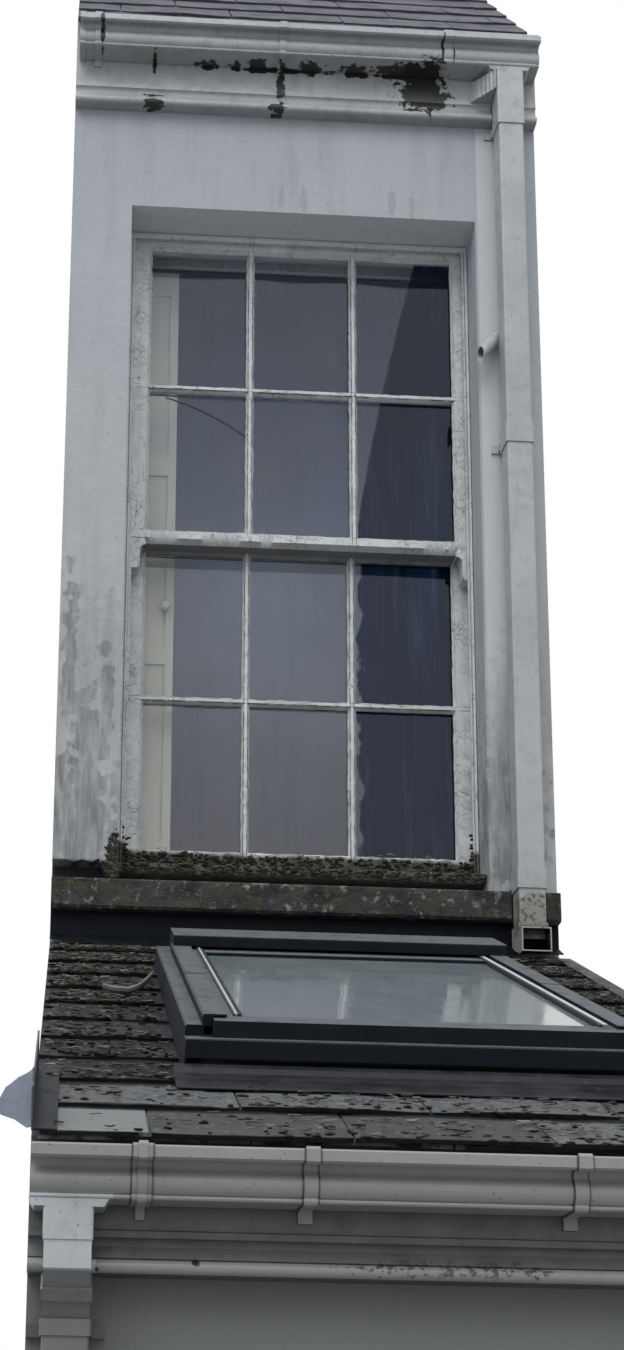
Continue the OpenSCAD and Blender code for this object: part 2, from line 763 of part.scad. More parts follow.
module downpipe_clips() {
    lug_w = 17;
    hold = pipe_w / 2 + socket_grow;
    color(plastic_white) for (z = [socket_1_z + 14, socket_2_z + 14, socket_3_z + 14]) {
        translate([upper_pipe_x, 0, z]) {
            slab(-hold - lug_w, hold + lug_w, front_y - 5, front_y, 0, 22);
            slab(-hold, hold, upper_pipe_y + hold, front_y - 4, 3, 19);
        }
    }
}

// The neck steps back from the gutter's outlet to the pipe against the wall, with a collar halfway
module lower_swan_neck() {
    y1 = outlet_y(lower_gutter_y);
    front = y1 - 27;
    back = y1 + 20;
    half = pipe_w / 2;
    slant = atan((lower_pipe_y - half - front) / (neck_bend_z - neck_foot_z));
    color(plastic_white) difference() {
        union() {
            translate([lower_pipe_x - half, 0, 0]) rotate([90, 0, 90]) linear_extrude(2 * half) polygon([
                [back, neck_top_z], [front, neck_top_z], [front, neck_bend_z], [lower_pipe_y - half, neck_foot_z],
                [lower_pipe_y + half, neck_foot_z], [back, neck_bend_z - 4]
            ]);
            translate([lower_pipe_x, front + 35, neck_bend_z - 20]) rotate([slant, 0, 0])
                cube([pipe_w + 5, 52, 18], center = true);
        }
        translate([lower_pipe_x - half + 3, 0, 0]) rotate([90, 0, 90]) linear_extrude(2 * half - 6) polygon([
            [back - 3, neck_top_z + 1], [front + 3, neck_top_z + 1], [front + 3, neck_bend_z + 1],
            [lower_pipe_y - half + 3, neck_foot_z + 1], [lower_pipe_y - half + 3, neck_foot_z - 1],
            [lower_pipe_y + half - 3, neck_foot_z - 1], [back - 3, neck_bend_z - 4]
        ]);
    }
}

module lower_downpipe() {
    clip_z = neck_foot_z - lower_clip_h;
    color(plastic_white) translate([lower_pipe_x, lower_pipe_y, 0]) {
        translate([0, 0, 60]) square_tube(neck_foot_z - 60);
        for (z = [clip_z, 1000]) {
            socket(z, lower_clip_h);
            translate([0, -lower_pipe_y, z]) difference() {
                slab(-pipe_w / 2 - 22, pipe_w / 2 + 22, lean_wall_y - 12, lean_wall_y, 2, 20);
                slab(-pipe_w / 2 + 4, pipe_w / 2 - 4, lean_wall_y - 13, lean_wall_y - 6, 1, 21);
            }
        }
    }
}

// Lean-to roof

// Opening for the roof window, cut square to the slope
module rw_cut(w, l, low) {
    translate([rw_x - w / 2, -rw_foot_d + (rw_l - l) / 2, low]) cube([w, l, 400]);
}

module lean_to_roof() {
    drop = under(rafter_t, lean_pitch);
    color(timber_brown) difference() {
        along_x(-half_w, half_w) polygon([
            [front_y, lean_z(front_y)], [front_y, lean_z(front_y) - drop],
            [lean_wall_y, lean_z(lean_wall_y) - drop], [lean_wall_y, lean_z(lean_wall_y)]
        ]);
        on_lean() rw_cut(rw_w - 64, rw_l - 64, -200);
    }
}

module lean_to_slates() {
    color(slate_grey) difference() {
        on_lean() along_x(-half_w, half_w) slate_steps(lean_slope_l, lean_gauge, lean_courses);
        on_lean() rw_cut(rw_w - 64, rw_l - 64, -200);
        slab(-half_w - cut, half_w + cut, front_y, front_y + 60, 0, 4000);
    }
}

// Roof window: a frame square to the slope, whose top, covers and sash lie a little flatter

module on_window() {
    on_lean() translate([0, -rw_foot_d, 0]) rotate([-rw_tilt, 0, 0]) translate([0, rw_foot_d, 0]) children();
}

// Cuts whatever reaches below the top of the slates
module above_slates() {
    difference() {
        on_window() children();
        on_lean() translate([-rw_w, -rw_foot_d - 50, slate_t - 300]) cube([2 * rw_w, rw_l + 100, 300]);
    }
}

module roof_window_frame() {
    color(timber_brown) difference() {
        on_lean() translate([rw_x - rw_outer + 32, -rw_foot_d + 32, -rafter_t])
            cube([rw_w - 64, rw_l - 64, rafter_t + 100]);
        on_lean() rw_cut(rw_w - 150, rw_l - 150, -200);
        on_window() translate([-rw_w, -rw_foot_d - 50, rw_frame_h]) cube([2 * rw_w, rw_l + 100, 200]);
    }
}

// A profile drawn as [distance from the middle, height], carried down the slope from d0 to d1
module down_slope(side, d0, d1) {
    translate([rw_x, 0, 0]) scale([side, 1, 1]) translate([0, -d1, 0]) rotate([90, 0, 0])
        translate([0, 0, -(d1 - d0)]) linear_extrude(d1 - d0) children();
}

// The outer cover stands on the slates and the frame
module outer_cover(side) {
    h = rw_cover_h;
    end = rw_foot_d - 50;
    difference() {
        down_slope(side, rw_head_d, rw_foot_d) polygon([
            [rw_outer - 1, -30], [rw_outer + 2, -30], [rw_outer - 6, h - 3], [rw_outer - 9, h],
            [rw_outer - 36, h], [rw_outer - 36, rw_frame_h], [rw_outer - 33, rw_frame_h],
            [rw_outer - 33, h - 3], [rw_outer - 11, h - 3], [rw_outer - 9, h - 5]
        ]);
        down_slope(side, end, rw_foot_d + cut) translate([rw_outer - 60, rw_frame_h - cut]) square([80, 100]);
    }
    down_slope(side, end - 3, end) translate([rw_outer - 35, rw_frame_h]) square([28, h - 1 - rw_frame_h]);
}

// The raised inner cover laps from the outer cover to the sash
module raised_cover(side, d0, d1, up) {
    low = rw_cover_h;
    top = rw_cover_h + 18 + up;
    down_slope(side, d0, d1) polygon([
        [rw_outer - 36, low - 1], [rw_outer - 33, low - 1], [rw_outer - 33, top - 3], [rw_outer - 36, top],
        [rw_outer - 72, top], [rw_outer - 72, rw_sash_h], [rw_outer - 69, rw_sash_h],
        [rw_outer - 69, top - 3], [rw_outer - 38, top - 3], [rw_outer - 36, top - 5]
    ]);
}

module roof_window_covers() {
    foot = rw_foot_d;
    color(cover_grey) above_slates() {
        for (side = [-1, 1]) {
            outer_cover(side);
            raised_cover(side, rw_head_d + 98, rw_lap_d, 1);
            raised_cover(side, rw_lap_d, foot - 50, 0);
            down_slope(side, foot - 53, foot - 50)
                translate([rw_outer - 49, rw_cover_h - 2]) square([15, 18]);
        }
        translate([rw_x - rw_outer + 5.5, 0, 0]) rotate([90, 0, 90]) linear_extrude(rw_w - 11) polygon([
            [-foot, 43], [-foot, 72], [-foot + 2, 74], [-foot + 17, 74], [-foot + 17, 71],
            [-foot + 3, 71], [-foot + 3, 43]
        ]);
        for (x = [rw_x - rw_outer + 10, rw_x + rw_outer - 31]) translate([x, -foot + 2, 44]) cube([21, 47, 27]);
    }
}

module roof_window_hood() {
    h = rw_hood_h;
    under = rw_cover_h + 19;
    color(cover_grey) above_slates() translate([rw_x - rw_outer + 36, 0, 0]) rotate([90, 0, 90])
        linear_extrude(rw_w - 72) polygon(concat(
            [[-rw_head_d, -60], [-rw_head_d, h - 14]],
            arc(-rw_head_d - 12, h - 12, 12, 0, 80, 5),
            arc(-rw_head_d - 151, h - 4, 4, 90, 180, 4),
            [[-rw_head_d - 155, under], [-rw_head_d - 98, under], [-rw_head_d - 98, rw_sash_h],
             [-rw_head_d - 80, rw_sash_h], [-rw_head_d - 80, rw_frame_h], [-rw_head_d - 32, rw_frame_h],
             [-rw_head_d - 32, -60]]
        ));
}

// The sash carries narrow glazing strips round the glass
module roof_window_sash() {
    outer = rw_outer - 50;
    inner = rw_outer - 92;
    d0 = rw_head_d + 80;
    d1 = rw_foot_d - 18;
    color(cover_grey) on_window() {
        difference() {
            translate([rw_x - outer, -d1, rw_frame_h]) cube([2 * outer, d1 - d0, rw_sash_h - rw_frame_h]);
            translate([rw_x - inner, -rw_glass_foot_d, 0]) cube([2 * inner, rw_glass_foot_d - rw_glass_head_d, 200]);
        }
        for (side = [-1, 1]) down_slope(side, d0 + 18, rw_glass_foot_d + 4)
            translate([inner, rw_sash_h - 1]) square([7, 4]);
        translate([rw_x - inner, -rw_glass_head_d, rw_sash_h - 1]) cube([2 * inner, 34, 4]);
    }
}

module roof_window_glass() {
    inner = rw_outer - 92;
    color([0.5, 0.6, 0.66, 0.6]) on_window() translate([rw_x - inner, -rw_glass_foot_d, rw_sash_h - 22])
        cube([2 * inner, rw_glass_foot_d - rw_glass_head_d, 18]);
}

// The apron rises to the foot of the covers and runs down over the slates
module roof_window_apron() {
    foot = rw_foot_d;
    color(lead_grey) on_lean() {
        translate([rw_x - rw_outer - 14, 0, 0]) rotate([90, 0, 90]) linear_extrude(rw_w + 28) polygon([
            [-foot, slate_t], [-foot, 34], [-foot - 5, 34], [-foot - 14, 31], [-foot - 24, 24], [-foot - 36, 21],
            [-foot - 44, 23], [-foot - 52, 21], [-foot - 104, 19.5], [-foot - 107, 18], [-foot - 107, slate_t]
        ]);
        translate([rw_x - rw_outer + 4, -foot - 1, slate_t]) cube([rw_w - 8, 32, 17]);
    }
}

// Lead at the left eaves: a strip on the slates with an upstand, whose end has lifted and curled outwards
module left_flashing() {
    lead_t = 3;
    color(lead_grey) {
        on_lean() translate([-half_w, -lean_slope_l + 4, slate_t]) {
            cube([36, 420, lead_t]);
            cube([lead_t, 420, 62]);
        }
        translate([0, 0, lean_z(lean_eaves_y) + slate_t + 8]) intersection() {
            translate([-half_w + lead_t, lean_eaves_y + 6, 0]) linear_extrude(100) difference() {
                translate([-44, 0]) circle(44);
                translate([-44, 0]) circle(44 - lead_t);
                translate([-100, -100]) square([200, 100]);
            }
            translate([-half_w, lean_eaves_y + 60, 0]) rotate([90, 0, 0]) linear_extrude(100)
                polygon([[4, 84], [-20, 76], [-38, 62], [-52, 34], [-46, 24], [-24, 16], [-6, 2], [4, 2]]);
        }
    }
}

// A narrow strip of lead beside the wing on the right
module right_flashing() {
    color(lead_grey) on_lean() translate([half_w - 34, -960, slate_t]) cube([34, 860, 3]);
}

window_wall();
left_party_wall();
right_party_wall();
back_wall();
ground_floor();
upper_floor();
lean_to_front_wall();
lean_to_left_wall();
lean_to_right_wall();
window_frame();
timber_sill();
upper_sash();
lower_sash();
sash_glass();
window_board();
left_shutter();
right_shutter();
sill_course();
abutment_flashing();
overflow_pipe();
upper_roof();
upper_slates();
ridge();
upper_fascia();
rear_fascia();
upper_gutter();
upper_gutter_brackets();
upper_gutter_outlet();
eaves_corner();
upper_downpipe();
downpipe_shoe();
downpipe_clips();
lean_to_roof();
lean_to_slates();
roof_window_frame();
roof_window_covers();
roof_window_hood();
roof_window_sash();
roof_window_glass();
roof_window_apron();
left_flashing();
right_flashing();
lower_fascia();
lower_gutter();
lower_gutter_brackets();
lower_gutter_outlet();
lower_swan_neck();
lower_downpipe();
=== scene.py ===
import json
import math
import random

import bmesh
import bpy
from mathutils import Matrix, Vector, noise


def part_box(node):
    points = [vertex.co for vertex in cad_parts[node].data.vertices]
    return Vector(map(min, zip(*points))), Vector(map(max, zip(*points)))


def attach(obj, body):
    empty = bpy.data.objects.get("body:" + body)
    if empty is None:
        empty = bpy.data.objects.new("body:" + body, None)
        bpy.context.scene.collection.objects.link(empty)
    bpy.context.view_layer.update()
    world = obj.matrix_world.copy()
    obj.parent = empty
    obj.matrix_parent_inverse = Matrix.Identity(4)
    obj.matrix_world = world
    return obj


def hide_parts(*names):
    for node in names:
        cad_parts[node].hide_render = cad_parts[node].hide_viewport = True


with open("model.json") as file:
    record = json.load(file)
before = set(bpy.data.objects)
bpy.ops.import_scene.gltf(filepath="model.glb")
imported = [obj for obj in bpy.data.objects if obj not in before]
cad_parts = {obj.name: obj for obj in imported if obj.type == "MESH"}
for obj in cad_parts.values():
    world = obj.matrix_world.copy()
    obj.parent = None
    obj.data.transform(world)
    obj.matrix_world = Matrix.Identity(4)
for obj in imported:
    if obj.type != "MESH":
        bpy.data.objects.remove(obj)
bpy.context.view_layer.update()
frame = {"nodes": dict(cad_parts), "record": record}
print("frame loaded:", len(frame["nodes"]), "nodes")

# camera and light

view = {
    "eye": (-0.568, -4.538, 1.650),  # the camera, at eye height
    "yaw": 2.59,
    "pitch": 12.86,
    "roll": -1.06,
    "focal": 1915.7,  # in pixels of the picture
    "axis": (149.5, 1053.5),  # pixel that the lens axis passes through
    "picture": (624, 1350),
    "sensor": 36.0,
    "farthest": 200.0,
}


def addObject(name, data):
    made = bpy.data.objects.new(name, data)
    bpy.context.scene.collection.objects.link(made)
    return made


def makeCamera(spec):
    yaw, pitch, roll = (math.radians(spec[key]) for key in ("yaw", "pitch", "roll"))
    ahead = Vector((math.sin(yaw) * math.cos(pitch), math.cos(yaw) * math.cos(pitch), math.sin(pitch)))
    right = Vector((math.cos(yaw), -math.sin(yaw), 0.0))
    up = right.cross(ahead)
    rolledRight = right * math.cos(roll) - up * math.sin(roll)
    rolledUp = right * math.sin(roll) + up * math.cos(roll)
    width, height = spec["picture"]
    data = bpy.data.cameras.new("streetCamera")
    data.sensor_width = spec["sensor"]
    data.lens = spec["focal"] / height * data.sensor_width
    data.shift_x = (width / 2 - spec["axis"][0]) / height
    data.shift_y = (spec["axis"][1] - height / 2) / height
    data.clip_end = spec["farthest"]
    camera = addObject("streetCamera", data)
    turn = Matrix((rolledRight, rolledUp, -ahead)).transposed()
    camera.matrix_world = Matrix.Translation(spec["eye"]) @ turn.to_4x4()
    bpy.context.scene.camera = camera


def addNode(tree, kind, values=None, **settings):
    node = tree.nodes.new("ShaderNode" + kind)
    for name, value in settings.items():
        setattr(node, name, value)
    for key, value in (values or {}).items():
        if isinstance(value, bpy.types.NodeSocket):
            tree.links.new(value, node.inputs[key])
        else:
            node.inputs[key].default_value = value
    return node


def calc(tree, operation, first, second=0.5):
    return addNode(tree, "Math", {0: first, 1: second}, operation=operation).outputs[0]


def chain(tree, operation, values):
    result, *others = values
    for value in others:
        result = calc(tree, operation, result, value)
    return result


def times(tree, *factors):
    return chain(tree, "MULTIPLY", factors)


def without(tree, mask):
    return calc(tree, "SUBTRACT", 1.0, mask)


def away(tree, value, centre):
    return calc(tree, "ABSOLUTE", calc(tree, "SUBTRACT", value, centre))


def mixValue(tree, factor, low, high):
    return addNode(tree, "Mix", {0: factor, 2: low, 3: high}, data_type="FLOAT").outputs[0]


def mixColour(tree, factor, low, high):
    low, high = (value if isinstance(value, bpy.types.NodeSocket) else (*value, 1.0) for value in (low, high))
    return addNode(tree, "Mix", {0: factor, 6: low, 7: high}, data_type="RGBA").outputs[2]


def ramp(tree, value, low, high, toLow=0.0, toHigh=1.0):
    values = {"Value": value, "From Min": low, "From Max": high, "To Min": toLow, "To Max": toHigh}
    return addNode(tree, "MapRange", values).outputs[0]


light = {
    "zenith": 1.3,  # strength of the sky high up
    "horizon": 0.55,  # and near the horizon
    "brightens": (0.05, 0.7),  # heights between which the sky goes from one to the other
    "sky": (0.93, 0.96, 1.0),
    "sunStrength": 1.35,
    "sunFrom": (-2.2, -4.6, 7.0),
    "sunSoftness": 50.0,  # degrees
    "roomWatts": 2.5,  # dim light inside the upper room
    "roomColour": (0.42, 0.62, 1.0),
    "roomAt": (0.05, 0.55, 4.35),
    "roomSize": 0.22,
    "floor": (0.66, 0.67, 0.68),
    "floorBounce": (0.30, 0.30, 0.30),
    "floorSize": 60.0,
}


def makeWorld(spec):
    world = bpy.data.worlds.new("paleSky")
    bpy.context.scene.world = world
    world.use_nodes = True
    tree = world.node_tree
    back = tree.nodes["Background"]
    ray = addNode(tree, "LightPath").outputs
    seen = chain(tree, "MAXIMUM", [ray["Is %s Ray" % kind] for kind in ("Camera", "Glossy", "Transmission")])
    direction = addNode(tree, "TexCoord").outputs["Generated"]
    height = addNode(tree, "SeparateXYZ", {0: direction}).outputs["Z"]
    dome = ramp(tree, height, *spec["brightens"], spec["horizon"], spec["zenith"])
    tree.links.new(mixValue(tree, seen, dome, 1.0), back.inputs["Strength"])
    tree.links.new(mixColour(tree, seen, spec["sky"], (1.0, 1.0, 1.0)), back.inputs["Color"])


def makeLamps(spec):
    sunData = bpy.data.lights.new("softSun", "SUN")
    sunData.energy = spec["sunStrength"]
    sunData.angle = math.radians(spec["sunSoftness"])
    sun = addObject("softSun", sunData)
    sun.rotation_mode = "QUATERNION"
    sun.rotation_quaternion = Vector(spec["sunFrom"]).to_track_quat("Z", "Y")
    roomData = bpy.data.lights.new("roomLight", "POINT")
    roomData.energy = spec["roomWatts"]
    roomData.shadow_soft_size = spec["roomSize"]
    roomData.color = spec["roomColour"]
    room = addObject("roomLight", roomData)
    room.location = spec["roomAt"]
    room.visible_camera = False
    room.visible_transmission = False
    room.visible_glossy = False


bpy.context.scene.view_settings.view_transform = "Standard"
makeCamera(view)
makeWorld(light)
makeLamps(light)
print("camera and light made")

# shared shader groups


def objectPoint(tree):
    return addNode(tree, "TexCoord").outputs["Object"]


def axes(tree):
    return addNode(tree, "SeparateXYZ", {0: objectPoint(tree)}).outputs


def vectorCalc(tree, operation, first, second=(0.0, 0.0, 0.0), output=0):
    return addNode(tree, "VectorMath", {0: first, 1: second}, operation=operation).outputs[output]


def noiseAt(tree, point, scale, detail, roughness=0.5, output=0):
    values = {"Vector": point, "Scale": scale, "Detail": detail, "Roughness": roughness}
    return addNode(tree, "TexNoise", values).outputs[output]


def grain(tree, scale, detail=4.0):
    return noiseAt(tree, objectPoint(tree), scale, detail)


def grains(tree, values):  # each has its scale and its share, and some have a detail
    masks = [times(tree, grain(tree, scale, *detail), share) for scale, share, *detail in values]
    return chain(tree, "ADD", masks)


def swing(tree, value, reach):
    return times(tree, calc(tree, "SUBTRACT", value, 0.5), reach)


def shaderGroup(name, inputs, outputs=("Mask",)):
    group = bpy.data.node_groups.new(name, "ShaderNodeTree")
    for label, value in inputs.items():
        kind = "Vector" if isinstance(value, tuple) else "Float"
        socket = group.interface.new_socket(label, in_out="INPUT", socket_type="NodeSocket" + kind)
        socket.default_value = value
    for label in outputs:
        group.interface.new_socket(label, in_out="OUTPUT", socket_type="NodeSocketFloat")
    return group, group.nodes.new("NodeGroupInput").outputs, group.nodes.new("NodeGroupOutput").inputs


def makeCloudGroup():
    inputs = {"Scale": 8.0, "Detail": 5.0, "Stretch": (1.0, 1.0, 1.0), "From": 0.45, "To": 0.6}
    group, given, out = shaderGroup("cloudPatches", inputs)
    stretched = vectorCalc(group, "MULTIPLY", objectPoint(group), given["Stretch"])
    clouds = noiseAt(group, stretched, given["Scale"], given["Detail"], 0.62)
    group.links.new(ramp(group, clouds, given["From"], given["To"]), out["Mask"])
    return group


def makeSpotGroup():
    inputs = {"Centre": (0.0, 0.0, 0.0), "Reach": (0.1, 0.1, 0.1), "Ragged": 0.8, "Scale": 30.0}
    group, given, out = shaderGroup("raggedSpot", inputs)
    point = objectPoint(group)
    offset = vectorCalc(group, "SUBTRACT", point, given["Centre"])
    far = vectorCalc(group, "LENGTH", vectorCalc(group, "DIVIDE", offset, given["Reach"]), output="Value")
    ragged = times(group, swing(group, noiseAt(group, point, given["Scale"], 6.0), given["Ragged"]), 2.0)
    group.links.new(ramp(group, calc(group, "ADD", far, ragged), 1.0, 0.8), out["Mask"])
    return group


peeling = {
    "wobble": (25.0, 3.0),  # scale and detail
    "bent": 0.03,
    "patches": (16.0, 8.0, 0.7),  # scale, detail and roughness
    "lossShare": 0.25,
    "lost": (0.68, 0.7),  # strengths of the patches between which paint is lost
    "cracked": (0.42, 0.6),  # and between which it is cracked
}


def makePeelGroup(look):
    inputs = {"Scale": 60.0, "Crack": 0.06, "Loss": 0.4, "Stretch": (1.0, 1.0, 1.0)}
    group, given, out = shaderGroup("peelingPaint", inputs, ("Mask", "Height"))
    stretched = vectorCalc(group, "MULTIPLY", objectPoint(group), given["Stretch"])
    wobble = noiseAt(group, stretched, *look["wobble"], output="Color")
    mixed = {0: look["bent"], 4: stretched, 5: wobble}
    bent = addNode(group, "Mix", mixed, data_type="VECTOR").outputs[1]
    values = {"Vector": bent, "Scale": given["Scale"]}
    cells = addNode(group, "TexVoronoi", values, feature="DISTANCE_TO_EDGE").outputs["Distance"]
    crack = ramp(group, cells, given["Crack"], 0.0)
    patches = noiseAt(group, stretched, *look["patches"])
    worse = calc(group, "ADD", patches, times(group, given["Loss"], look["lossShare"]))
    lost = ramp(group, worse, *look["lost"])
    bare = calc(group, "MAXIMUM", times(group, crack, ramp(group, patches, *look["cracked"])), lost)
    group.links.new(bare, out["Mask"])
    group.links.new(without(group, bare), out["Height"])
    return group


def makeFacingGroup():
    group, given, out = shaderGroup("upFacing", {"From": 0.2, "To": 0.9})
    normal = addNode(group, "NewGeometry").outputs["Normal"]
    height = addNode(group, "SeparateXYZ", {0: normal}).outputs["Z"]
    group.links.new(ramp(group, height, given["From"], given["To"]), out["Mask"])
    return group


def makeHeightGroup():
    group, given, out = shaderGroup("heightBand", {"Low": 0.0, "High": 1.0, "Waver": 0.1, "Scale": 6.0})
    wavering = swing(group, noiseAt(group, objectPoint(group), given["Scale"], 5.0), given["Waver"])
    height = calc(group, "ADD", axes(group)["Z"], wavering)
    group.links.new(ramp(group, height, given["Low"], given["High"]), out["Mask"])
    return group


groups = {
    "cloud": makeCloudGroup(), "spot": makeSpotGroup(), "peel": makePeelGroup(peeling),
    "facing": makeFacingGroup(), "height": makeHeightGroup()}


def useGroup(tree, name, output="Mask", **values):
    node = tree.nodes.new("ShaderNodeGroup")
    node.node_tree = groups[name]
    for key, value in values.items():
        node.inputs[key].default_value = value
    return node.outputs[output]


def clouds(tree, values):
    return useGroup(tree, "cloud", **values)


def anySpot(tree, spots, ragged, scale):
    masks = [useGroup(tree, "spot", Centre=centre, Reach=reach, Ragged=ragged, Scale=scale)
             for centre, reach in spots]
    return chain(tree, "MAXIMUM", masks)


def limitMask(tree, split, axis, start, end, *strengths):
    if axis == "facing":
        return useGroup(tree, "facing", From=start, To=end)
    return ramp(tree, split[axis], start, end, *strengths)


def inLimits(tree, split, limits):  # a limit runs from no mask at its first value to a full one at its second
    return times(tree, *(limitMask(tree, split, *limit) for limit in limits))


def lay(tree, colour, over, *masks):
    return mixColour(tree, times(tree, *masks), colour, over)


def weather(tree, colour, layers):  # a layer is its colour, its strength and its clouds
    for over, strength, values in layers:
        colour = lay(tree, colour, over, clouds(tree, values), strength)
    return colour


def shade(tree, colour, areas):  # an area is its colour, its strength and its limits
    split = axes(tree)
    for over, strength, limits in areas:
        colour = lay(tree, colour, over, inLimits(tree, split, limits), strength)
    return colour


def stain(tree, colour, stains):  # a stain has clouds too where it is broken up
    for spec in stains:
        masks = [anySpot(tree, spec["spots"], spec["ragged"], spec["scale"])]
        if "clouds" in spec:
            masks.append(clouds(tree, spec["clouds"]))
        colour = lay(tree, colour, spec["colour"], *masks, spec["strength"])
    return colour


def startMaterial(name, **values):
    material = bpy.data.materials.new(name)
    material.use_nodes = True
    for key, value in values.items():
        socket = material.node_tree.nodes["Principled BSDF"].inputs[key.replace("_", " ")]
        socket.default_value = (*value, 1.0) if isinstance(value, tuple) else value
    return material, material.node_tree


def endMaterial(material, colour, height=None, strength=0.5, distance=0.002, roughness=None):
    tree = material.node_tree
    shader = tree.nodes["Principled BSDF"]
    tree.links.new(colour, shader.inputs["Base Color"])
    if roughness is not None:
        tree.links.new(roughness, shader.inputs["Roughness"])
    if height is not None:
        bump = addNode(tree, "Bump", {"Height": height, "Strength": strength, "Distance": distance})
        tree.links.new(bump.outputs[0], shader.inputs["Normal"])
    return material


def plainMaterial(name, spec, **values):  # clouds of two colours, layers over them and a grain
    material, tree = startMaterial(name, **values)
    mask = clouds(tree, spec["clouds"])
    colour = mixColour(tree, times(tree, mask, spec.get("share", 1.0)), spec["dark"], spec["pale"])
    colour = weather(tree, colour, spec.get("layers", ()))
    if "foot" in spec:
        over, strength, band = spec["foot"]
        colour = lay(tree, colour, over, useGroup(tree, "height", **band), strength)
    rough = grains(tree, spec["grains"]) if "grains" in spec else mask
    roughness = ramp(tree, mask, 0.0, 1.0, *spec["roughness"]) if "roughness" in spec else None
    return endMaterial(material, colour, rough, *spec["bump"], roughness)


def addAreas(material, areas):
    tree = material.node_tree
    before = tree.nodes["Principled BSDF"].inputs["Base Color"].links[0].from_socket
    return endMaterial(material, shade(tree, before, areas))


print("shader groups made")

# materials

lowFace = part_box("lean_to_front_wall")[0][1]


def onWall(*spots):  # x, z, half a width and half a height
    return [((x, -0.16, z), (wide, 0.2, high)) for x, z, wide, high in spots]


wallPaint = {
    "top": (0.37, 0.395, 0.425),
    "foot": (0.405, 0.415, 0.42),
    "rise": dict(Low=3.6, High=5.1, Waver=0.5, Scale=2.0),
    "layers": [
        ((0.26, 0.275, 0.29), 0.55, dict(Scale=3.2, Detail=7.0, Stretch=(6.0, 6.0, 0.7), From=0.5, To=0.74)),
        ((0.48, 0.49, 0.50), 0.3, dict(Scale=5.0, Detail=8.0, From=0.44, To=0.72)),
        ((0.22, 0.23, 0.23), 0.4, dict(Scale=90.0, Detail=2.0, From=0.66, To=0.72))],
    "stains": [
        {"colour": (0.26, 0.275, 0.29), "strength": 0.5, "ragged": 1.0, "scale": 60.0,  # drips
         "spots": onWall((-0.064, 4.965, 0.009, 0.036), (-0.006, 4.965, 0.011, 0.04),
                         (0.228, 4.97, 0.011, 0.05), (0.281, 4.965, 0.009, 0.04))},
        {"colour": (0.22, 0.23, 0.23), "strength": 0.5, "ragged": 0.9, "scale": 20.0,  # damp beside the sill
         "spots": onWall((-0.54, 3.45, 0.14, 0.42), (0.52, 3.42, 0.1, 0.36)),
         "clouds": dict(Scale=8.0, Detail=8.0, Stretch=(2.4, 2.4, 0.5), From=0.36, To=0.62)},
        {"colour": (0.045, 0.05, 0.05), "strength": 0.64, "ragged": 1.5, "scale": 26.0,  # algae in the damp
         "spots": onWall((-0.58, 3.20, 0.16, 0.22), (0.50, 3.22, 0.10, 0.26), (-0.53, 3.42, 0.035, 0.20),
                         (-0.49, 3.55, 0.02, 0.18), (-0.585, 3.62, 0.02, 0.26), (0.49, 3.5, 0.03, 0.22)),
         "clouds": dict(Scale=24.0, Detail=9.0, Stretch=(2.6, 2.6, 0.42), From=0.32, To=0.70)}],
    "areas": [
        # painted shade of the lower eaves on the wall under them, fading towards the ground
        ((0.135, 0.14, 0.138), 1.0, [("Y", lowFace + 0.004, lowFace + 0.002), ("Z", 1.1, 1.8, 0.45, 0.92)]),
        # painted light: the underside of the reveal's head, made paler
        ((0.74, 0.76, 0.76), 1.0, [("facing", -0.6, -0.9), ("Z", 4.9, 4.95), ("Z", 5.1, 5.05)]),
        # painted light: the strip between the window and the downpipe, made paler against the pipe's shade on
        # it
        ((0.60, 0.625, 0.64), 0.62, [("X", 0.452, 0.456), ("X", 0.56, 0.52), ("Z", 3.35, 3.7)]),
        # painted shade inside the broken patch beside the sill
        ((0.012, 0.013, 0.017), 1.0, [("X", -0.6115, -0.6105), ("X", -0.47, -0.475), ("Y", -0.159, -0.155),
                                      ("Z", 3.0, 3.01), ("Z", 3.13, 3.12)])],
    "grains": [(260.0, 0.6), (34.0, 1.0)],
    "bump": (0.45, 0.004),
}


def makeWallPaint(spec):
    material, tree = startMaterial("paintedRender", Roughness=0.86)
    colour = mixColour(tree, useGroup(tree, "height", **spec["rise"]), spec["foot"], spec["top"])
    colour = weather(tree, colour, spec["layers"])
    colour = stain(tree, colour, spec["stains"])
    colour = shade(tree, colour, spec["areas"])
    return endMaterial(material, colour, grains(tree, spec["grains"]), *spec["bump"])


plainRender = {
    "dark": (0.40, 0.40, 0.385),
    "pale": (0.52, 0.52, 0.51),
    "clouds": dict(Scale=1.6, Detail=8.0, From=0.35, To=0.7),
    "layers": [
        ((0.24, 0.25, 0.24), 0.6, dict(Scale=2.2, Detail=7.0, Stretch=(5.0, 5.0, 0.5), From=0.52, To=0.8))],
    "foot": ((0.14, 0.16, 0.12), 0.7, dict(Low=0.5, High=0.0, Waver=0.5, Scale=3.0)),  # damp near the ground
    "grains": [(180.0, 1.0), (24.0, 1.0)],
    "bump": (0.5, 0.004),
}
innerPaint = {
    "dark": (0.65, 0.75, 0.74),
    "pale": (0.71, 0.82, 0.82),
    "clouds": dict(Scale=4.0, Detail=4.0, From=0.4, To=0.7),
    "grains": [(40.0, 1.0)],
    "bump": (0.2, 0.001),
}
roofGlass = {
    "dark": (0.155, 0.185, 0.19),
    "pale": (0.23, 0.25, 0.25),
    "clouds": dict(Scale=11.0, Detail=8.0, From=0.4, To=0.8),
    "share": 0.5,
    "roughness": (0.04, 0.2),
    "grains": [(2.6, 1.0, 1.0)],
    "bump": (0.25, 0.01),
}
